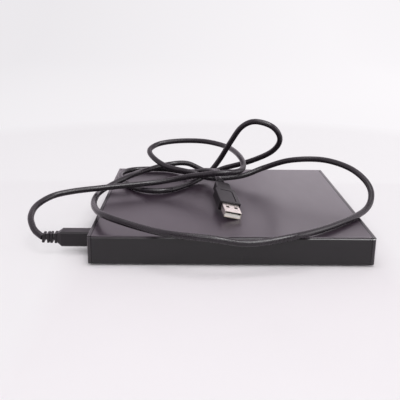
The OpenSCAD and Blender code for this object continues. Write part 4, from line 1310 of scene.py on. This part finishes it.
@dataclass
class UsbLead:
    """The lead: its plug in the box, the cord on the lid, and its free plug."""

    diameter: float = 4.4 * MM
    length: float = 1.456
    exit: Point = (-0.125, -0.0653, 0.0105)
    step: float = 2.5 * MM
    facets: int = 6
    roll: float = math.radians(13.8)
    grip_round: float = 0.35 * MM
    relief_round: float = 0.28 * MM
    relief_core: float = 1.8 * MM
    ribs: tuple[float, ...] = (0.3 * MM, 3.4 * MM, 5.5 * MM, 8.4 * MM)
    rib_half: float = 3.05 * MM
    rib_growth: float = 0.08 * MM
    rib_thick: float = 1.7 * MM
    rib_lean: float = math.radians(9)
    bars: tuple[tuple[int, bool], ...] = ((0, False), (1, False), (1, True), (2, False))
    bar_sunk: float = 0.4 * MM
    bar_off: float = 2.3 * MM
    bar_half: float = 1.0 * MM
    bar_thin: float = 0.5 * MM
    route: tuple[Point, ...] = (
        (-0.1250, -0.0653, 0.0105), (-0.1282, -0.0635, 0.0120), (-0.1323, -0.0595, 0.0144),
        (-0.1364, -0.0492, 0.0192), (-0.1360, -0.0333, 0.0224), (-0.1276, -0.0193, 0.0254),
        (-0.1139, -0.0120, 0.0270), (-0.0966, -0.0063, 0.0278), (-0.0758, 0.0024, 0.0279),
        (-0.0512, 0.0109, 0.0286), (-0.0278, 0.0093, 0.0335), (-0.0079, -0.0017, 0.0389),
        (0.0070, 0.0012, 0.0394), (0.0136, 0.0106, 0.0399), (0.0143, 0.0257, 0.0430),
        (0.0098, 0.0476, 0.0452), (0.0022, 0.0682, 0.0456), (-0.0148, 0.0825, 0.0466),
        (-0.0363, 0.0880, 0.0458), (-0.0543, 0.0856, 0.0437), (-0.0626, 0.0751, 0.0404),
        (-0.0591, 0.0619, 0.0366), (-0.0466, 0.0487, 0.0318), (-0.0266, 0.0379, 0.0296),
        (-0.0095, 0.0320, 0.0264), (0.0144, 0.0329, 0.0282), (0.0335, 0.0364, 0.0345),
        (0.0528, 0.0271, 0.0429), (0.0765, 0.0181, 0.0456), (0.0933, -0.0008, 0.0438),
        (0.1024, -0.0174, 0.0375), (0.1033, -0.0302, 0.0300), (0.0950, -0.0437, 0.0232),
        (0.0693, -0.0713, 0.0226), (0.0415, -0.0927, 0.0226), (0.0109, -0.1002, 0.0200),
        (-0.0129, -0.1031, 0.0239), (-0.0369, -0.0980, 0.0246), (-0.0568, -0.0857, 0.0244),
        (-0.0792, -0.0743, 0.0276), (-0.0903, -0.0549, 0.0264), (-0.0963, -0.0248, 0.0240),
        (-0.0950, 0.0076, 0.0225), (-0.0770, 0.0300, 0.0277), (-0.0635, 0.0564, 0.0268),
        (-0.0465, 0.0733, 0.0277), (-0.0296, 0.0757, 0.0281), (-0.0115, 0.0685, 0.0225),
        (0.0040, 0.0591, 0.0289), (0.0234, 0.0473, 0.0375), (0.0392, 0.0368, 0.0480),
        (0.0439, 0.0276, 0.0597), (0.0373, 0.0236, 0.0702), (0.0235, 0.0259, 0.0740),
        (0.0135, 0.0323, 0.0684), (0.0053, 0.0394, 0.0545), (-0.0023, 0.0466, 0.0393),
        (-0.0110, 0.0474, 0.0275), (-0.0205, 0.0396, 0.0232), (-0.0318, 0.0222, 0.0225),
        (-0.0470, 0.0076, 0.0225), (-0.0634, 0.0088, 0.0227), (-0.0770, 0.0250, 0.0224),
        (-0.0861, 0.0533, 0.0229), (-0.0784, 0.0730, 0.0226), (-0.0535, 0.0776, 0.0225),
        (-0.0372, 0.0691, 0.0228), (-0.0299, 0.0572, 0.0248), (-0.0230, 0.0479, 0.0274),
        (-0.0154, 0.0410, 0.0304), (-0.0088, 0.0305, 0.0327), (-0.0057, 0.0169, 0.0358),
        (-0.0060, 0.0030, 0.0347), (-0.0051, -0.0033, 0.0335))

    def build(self) -> None:
        """Makes the cord and both of its plugs."""
        cord = self.cord()
        with_it = [*self.boxed_plug(), *FreePlug(self.free_frame()).build()]

    def line(self) -> list[Vector]:
        """The cord's middle line: a smooth curve through the route's points.

        Returns:
            Points a step apart, from the plug in the box to the free plug.
        """
        p = [Vector(point) for point in self.route]
        p = [2 * p[0] - p[1], *p, 2 * p[-1] - p[-2]]
        points = []
        for a, b, c, d in zip(p, p[1:], p[2:], p[3:]):
            count = max(1, round((c - b).length / self.step))
            for k in range(count):
                t = k / count
                points.append(0.5 * (2 * b + (c - a) * t + (2 * a - 5 * b + 4 * c - d) * t ** 2
                                     + (3 * b - a - 3 * c + d) * t ** 3))
        return [*points, p[-2]]

    def cord(self) -> bpy.types.Object:
        """The cord as one curve with a round section."""
        line = self.line()
        curve = bpy.data.curves.new("usb_cord_finished", "CURVE")
        curve.dimensions = "3D"
        curve.bevel_depth = self.diameter / 2
        curve.bevel_resolution = self.facets
        curve.use_fill_caps = True
        spline = curve.splines.new("POLY")
        spline.points.add(len(line) - 1)
        for point, place in zip(spline.points, line):
            point.co = (*place, 1.0)
        curve.materials.append(palette.material(CORD_JACKET))
        cord = linked("usb_cord_finished", curve)
        measured = sum((b - a).length for a, b in zip(line, line[1:]))
        log.info("the cord's line is %.3f m long", measured)
        return register(cord, Body.LEAD, ("usb_cord",))

    def boxed_plug(self) -> list[bpy.types.Object]:
        """The plug in the box: grip, metal shell and ribbed relief."""
        palette.dress(PLUG_METAL, "plug_b_shell")
        grip = rounded_copy("plug_b_grip", PLUG_PLASTIC, self.grip_round, 3)
        return [grip, frame["nodes"]["plug_b_shell"], self.ribbed_relief()]

    def ribbed_relief(self) -> bpy.types.Object:
        """A core with four block ribs, the first one leaning, joined by short bars."""
        low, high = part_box("plug_b_relief")
        middle = (low + high) / 2
        mould = Mould()
        mould.rod((low.x, middle.y, middle.z), Along.X, self.relief_core, high.x - low.x, 28)
        for i, offset in enumerate(self.ribs):
            x = low.x + offset
            half = self.rib_half + self.rib_growth * i
            rib = mould.box((x, middle.y - half, middle.z - half),
                            (x + self.rib_thick, middle.y + half, middle.z + half))
            if i == 0:
                bmesh.ops.rotate(mould.mesh, verts=rib, cent=(x + self.rib_thick / 2, 0, middle.z),
                                 matrix=Matrix.Rotation(self.rib_lean, 3, "Y"))
        for i, upright in self.bars:
            start = Vector((low.x + self.ribs[i] + self.rib_thick - self.bar_sunk, 0, 0))
            end = Vector((low.x + self.ribs[i + 1] + self.bar_sunk, 0, 0))
            for off in (-self.bar_off, self.bar_off):
                across = Vector((0, 0, off) if upright else (0, off, 0))
                half = Vector((0, self.bar_half, self.bar_thin) if upright
                              else (0, self.bar_thin, self.bar_half))
                place = Vector((0, middle.y, middle.z)) + across
                mould.box(start + place - half, end + place + half)
        mould.soften(self.relief_round)
        return mould.finish("plug_b_relief_finished", PLUG_PLASTIC, Body.LEAD, ("plug_b_relief",))

    def free_frame(self) -> Matrix:
        """The free plug's own frame: origin where the cord enters, plug along -Y."""
        along = (Vector(self.route[-1]) - Vector(self.route[-2])).normalized()
        return (Matrix.Translation(self.route[-1])
                @ Matrix.Rotation(math.atan2(along.x, -along.y), 4, "Z")
                @ Matrix.Rotation(-math.asin(along.z), 4, "X")
                @ Matrix.Rotation(self.roll, 4, "Y"))


# Box


@dataclass
class Case:
    """The box: base shell, top cover, end panels, feet and screws."""

    shell_round: float = 0.18 * MM
    cover_round: float = 0.12 * MM
    foot_round: float = 0.2 * MM
    long_edge: float = 4 * MM
    panel_edge: float = 1.0 * MM
    wall: float = 1.4 * MM
    rim: float = 1.0 * MM
    sole: float = 0.3 * MM

    def build(self) -> None:
        """Makes the box's pieces."""
        low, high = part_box("base_shell")

        def outside(edge: bmesh.types.BMEdge) -> bool:
            """Says whether an edge is on the box's outside.

            Args:
                edge: The edge.

            Returns:
                True where it is.
            """
            c = (edge.verts[0].co + edge.verts[1].co) / 2
            return abs(c.y) > high.y - self.wall or not (
                low.z + self.sole <= c.z <= high.z - self.rim)

        rounded_copy("base_shell", CASE_DARK, self.shell_round, 3, self.long_edge, outside)
        rounded_copy("top_cover", CASE_TOP, self.cover_round, 3, self.long_edge)
        for node in ("rear_panel", "front_panel"):
            rounded_copy(node, END_PANEL, self.shell_round, 2, self.panel_edge)
        rounded_copy("rubber_feet", FEET_RUBBER, self.foot_round, 3)
        palette.dress(SCREW_STEEL, "case_screws")


# Inside of the box


@dataclass
class Electronics:
    """The bridge board and what is on it."""

    top: float = 5.0 * MM
    chip_low: Pair = (-70.0 * MM, -44.0 * MM)
    chip_high: Pair = (-60.0 * MM, -34.0 * MM)
    pitch: float = 0.8 * MM
    leg_half: float = 0.16 * MM
    foot: Pair = (1.1 * MM, 0.14 * MM)
    knee: Pair = (0.45 * MM, 0.62 * MM)
    leg_round: float = 0.03 * MM
    columns: tuple[tuple[float, int], ...] = (
        (-76.6 * MM, 6), (-73.6 * MM, 6), (-56.6 * MM, 8), (-53.6 * MM, 8))
    row_start: float = -44.0 * MM
    row_pitch: float = 4.1 * MM
    row_shift: float = 0.9 * MM
    large_part: Pair = (1.0 * MM, 0.5 * MM)
    small_part: Pair = (0.6 * MM, 0.3 * MM)
    part_height: float = 0.35 * MM
    end_from: float = 0.72
    end_past: float = 0.12 * MM
    end_skin: float = 0.04 * MM
    end_rise: float = 0.05 * MM
    part_round: float = 0.05 * MM
    can_x: float = -62.5 * MM
    cans: tuple[float, ...] = (-68.3 * MM, -61.8 * MM)
    can_radius: float = 2.35 * MM
    can_height: float = 5.35 * MM
    can_sheet: float = 0.2 * MM
    can_round: float = 0.04 * MM
    score_turns: tuple[int, ...] = (0, 60, 120)
    score_half: Pair = (1.8 * MM, 0.09 * MM)
    score_levels: Pair = (5.5 * MM, 5.6 * MM)

    def build(self) -> None:
        """Dresses the board and its parts, and adds the smaller ones."""
        self.chip_legs()
        self.small_parts()
        self.can_tops()
        palette.dress(BOARD_GREEN, "bridge_board", "tray_board")
        palette.dress(BOARD_BLUE, "drive_board")
        palette.dress(CHIP_BLACK, "bridge_parts", "drive_board_parts")
        palette.dress(PLUG_METAL, "usb_socket_shell")
        palette.dress(CONTACT_PLASTIC, "usb_socket_core")
        palette.dress(CONNECTOR_BLACK, "drive_connector")

    def chip_legs(self) -> None:
        """Bent legs along the four sides of the large chip."""
        mould = Mould()
        count = round((self.chip_high[0] - self.chip_low[0]) / self.pitch) - 1
        half = self.leg_half
        for i in range(count):
            x, y = (start + (i + 1) * self.pitch for start in self.chip_low)
            for side, corner in ((-1, self.chip_low), (1, self.chip_high)):
                for reach, height in (self.foot, self.knee):
                    left, right = sorted((corner[0], corner[0] + side * reach))
                    near, far = sorted((corner[1], corner[1] + side * reach))
                    level = self.top + height
                    mould.box((left, y - half, self.top), (right, y + half, level))
                    mould.box((x - half, near, self.top), (x + half, far, level))
        mould.soften(self.leg_round, 1)
        mould.finish("bridge_chip_legs", SCREW_STEEL, Body.CASE)

    def small_parts(self) -> None:
        """Rows of small resistors and capacitors, each with its two tinned ends."""
        bodies = Mould()
        ends = Mould()
        for column, (x, count) in enumerate(self.columns):
            for i in range(count):
                y = self.row_start + self.row_pitch * i + self.row_shift * (column % 2)
                long, wide = self.large_part if (i + column) % 3 else self.small_part
                level = self.top + self.part_height + wide / 3
                bodies.box((x - long, y - wide, self.top), (x + long, y + wide, level))
                wider = wide + self.end_skin
                for side in (-1, 1):
                    left, right = sorted((x + side * long * self.end_from,
                                          x + side * (long + self.end_past)))
                    ends.box((left, y - wider, self.top),
                             (right, y + wider, level + self.end_rise))
        bodies.soften(self.part_round, 1)
        ends.soften(self.part_round, 1)
        bodies.finish("bridge_chip_parts", CHIP_BLACK, Body.CASE)
        ends.finish("bridge_part_ends", SCREW_STEEL, Body.CASE)

    def can_tops(self) -> None:
        """Scored metal tops on the two round capacitors."""
        mould = Mould()
        long, wide = self.score_half
        bottom, level = (self.top + height for height in self.score_levels)
        for y in self.cans:
            mould.rod((self.can_x, y, self.top + self.can_height), Along.Z, self.can_radius,
                      self.can_sheet)
            for turn in self.score_turns:
                bar = mould.box((self.can_x - long, y - wide, bottom),
                                (self.can_x + long, y + wide, level))
                bmesh.ops.rotate(mould.mesh, verts=bar, cent=(self.can_x, y, 0),
                                 matrix=Matrix.Rotation(math.radians(turn), 3, "Z"))
        mould.soften(self.can_round)
        mould.finish("bridge_can_tops", MOTOR_ZINC, Body.CASE)


@dataclass
class Loader:
    """The slim loader's fixed metalwork and its rails."""

    def build(self) -> None:
        """Dresses the loader's parts."""
        palette.dress(LOADER_STEEL, "drive_pan", "drive_lid")
        palette.dress(BRACKET_STEEL, "mounting_brackets")
        palette.dress(SCREW_STEEL, "inner_screws")
        palette.dress(RAIL_STEEL, "guide_rail_left", "guide_rail_right", "slide_rail_left",
                      "slide_rail_right", "latch_post")
        palette.dress(RIBBON_FILM, "flex_ribbon")


@dataclass
class DiscTray:
    """The tray with its bezel, button and what hangs under it."""

    bezel_round: float = 0.35 * MM
    button_round: float = 0.3 * MM
    tray_round: float = 0.2 * MM
    bezel_edge: float = 2 * MM
    tray_edge: float = 1.2 * MM

    def build(self) -> None:
        """Makes the tray's pieces."""
        rounded_copy("drive_bezel", BEZEL_BLACK, self.bezel_round, 3, self.bezel_edge)
        rounded_copy("eject_button", BEZEL_BLACK, self.button_round, 3)
        rounded_copy("tray", TRAY_BLACK, self.tray_round, 2, self.tray_edge)
        palette.dress(LIGHT_PIPE, "light_pipe")
        palette.dress(PLATE_STEEL, "tray_plate")
        palette.dress(COIL_COPPER, "latch_solenoid")
        palette.dress(TRAY_BLACK, "ejector_housing")
        palette.dress(NATURAL_PLASTIC, "eject_plunger", "latch_hook")
        palette.dress(SPRING_STEEL, "eject_spring")
        palette.dress(CONNECTOR_BLACK, "eject_switch")
        palette.dress(RAIL_STEEL, "solenoid_plunger")


@dataclass
class LaserUnit:
    """The frame in the tray with the spindle, the rods, the sled and the lens."""

    turn: float = math.radians(-45)
    coil_off: float = 3.0 * MM
    coil_half: Pair = (0.5 * MM, 2.1 * MM)
    coil_levels: Pair = (0.35 * MM, 1.75 * MM)
    coil_round: float = 0.2 * MM

    def build(self) -> None:
        """Dresses the laser unit."""
        palette.dress(PLATE_STEEL, "traverse_frame", "feed_bracket", "spindle_base", "sled_cover")
        palette.dress(DAMPER_RUBBER, "traverse_dampers")
        palette.dress(ROD_CHROME, "guide_rods", "lead_screw")
        palette.dress(MOTOR_ZINC, "feed_motor")
        palette.dress(HUB_ALUMINIUM, "spindle_hub")
        palette.dress(PAD_RUBBER, "hub_pad")
        palette.dress(NATURAL_PLASTIC, "clamp_claw_a", "clamp_claw_b", "clamp_claw_c")
        palette.dress(SLED_CAST, "sled")
        palette.dress(CONNECTOR_BLACK, "lens_holder")
        palette.dress(LENS_GLASS, "lens")
        self.holder_wires()

    def holder_wires(self) -> None:
        """The two coils at the ends of the lens holder, along the unit's slant."""
        low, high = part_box("lens_holder")
        middle = (low + high) / 2
        bottom, level = (low.z + height for height in self.coil_levels)
        wide, long = self.coil_half
        mould = Mould()
        for x in (middle.x - self.coil_off, middle.x + self.coil_off):
            bar = mould.box((x - wide, middle.y - long, bottom), (x + wide, middle.y + long, level))
            bmesh.ops.rotate(mould.mesh, verts=bar, cent=(middle.x, middle.y, 0),
                             matrix=Matrix.Rotation(self.turn, 3, "Z"))
        mould.soften(self.coil_round)
        mould.finish("lens_coils", COIL_COPPER, Body.LENS)


def main() -> None:
    """Builds the camera, the lead, the studio and the drive, in that order."""
    logging.basicConfig(level=logging.INFO, format="%(name)s: %(message)s")
    for part in (PhotoCamera(), UsbLead(), Studio(), Case(), Electronics(), Loader(), DiscTray(),
                 LaserUnit()):
        part.build()


if __name__ == "__main__":
    main()
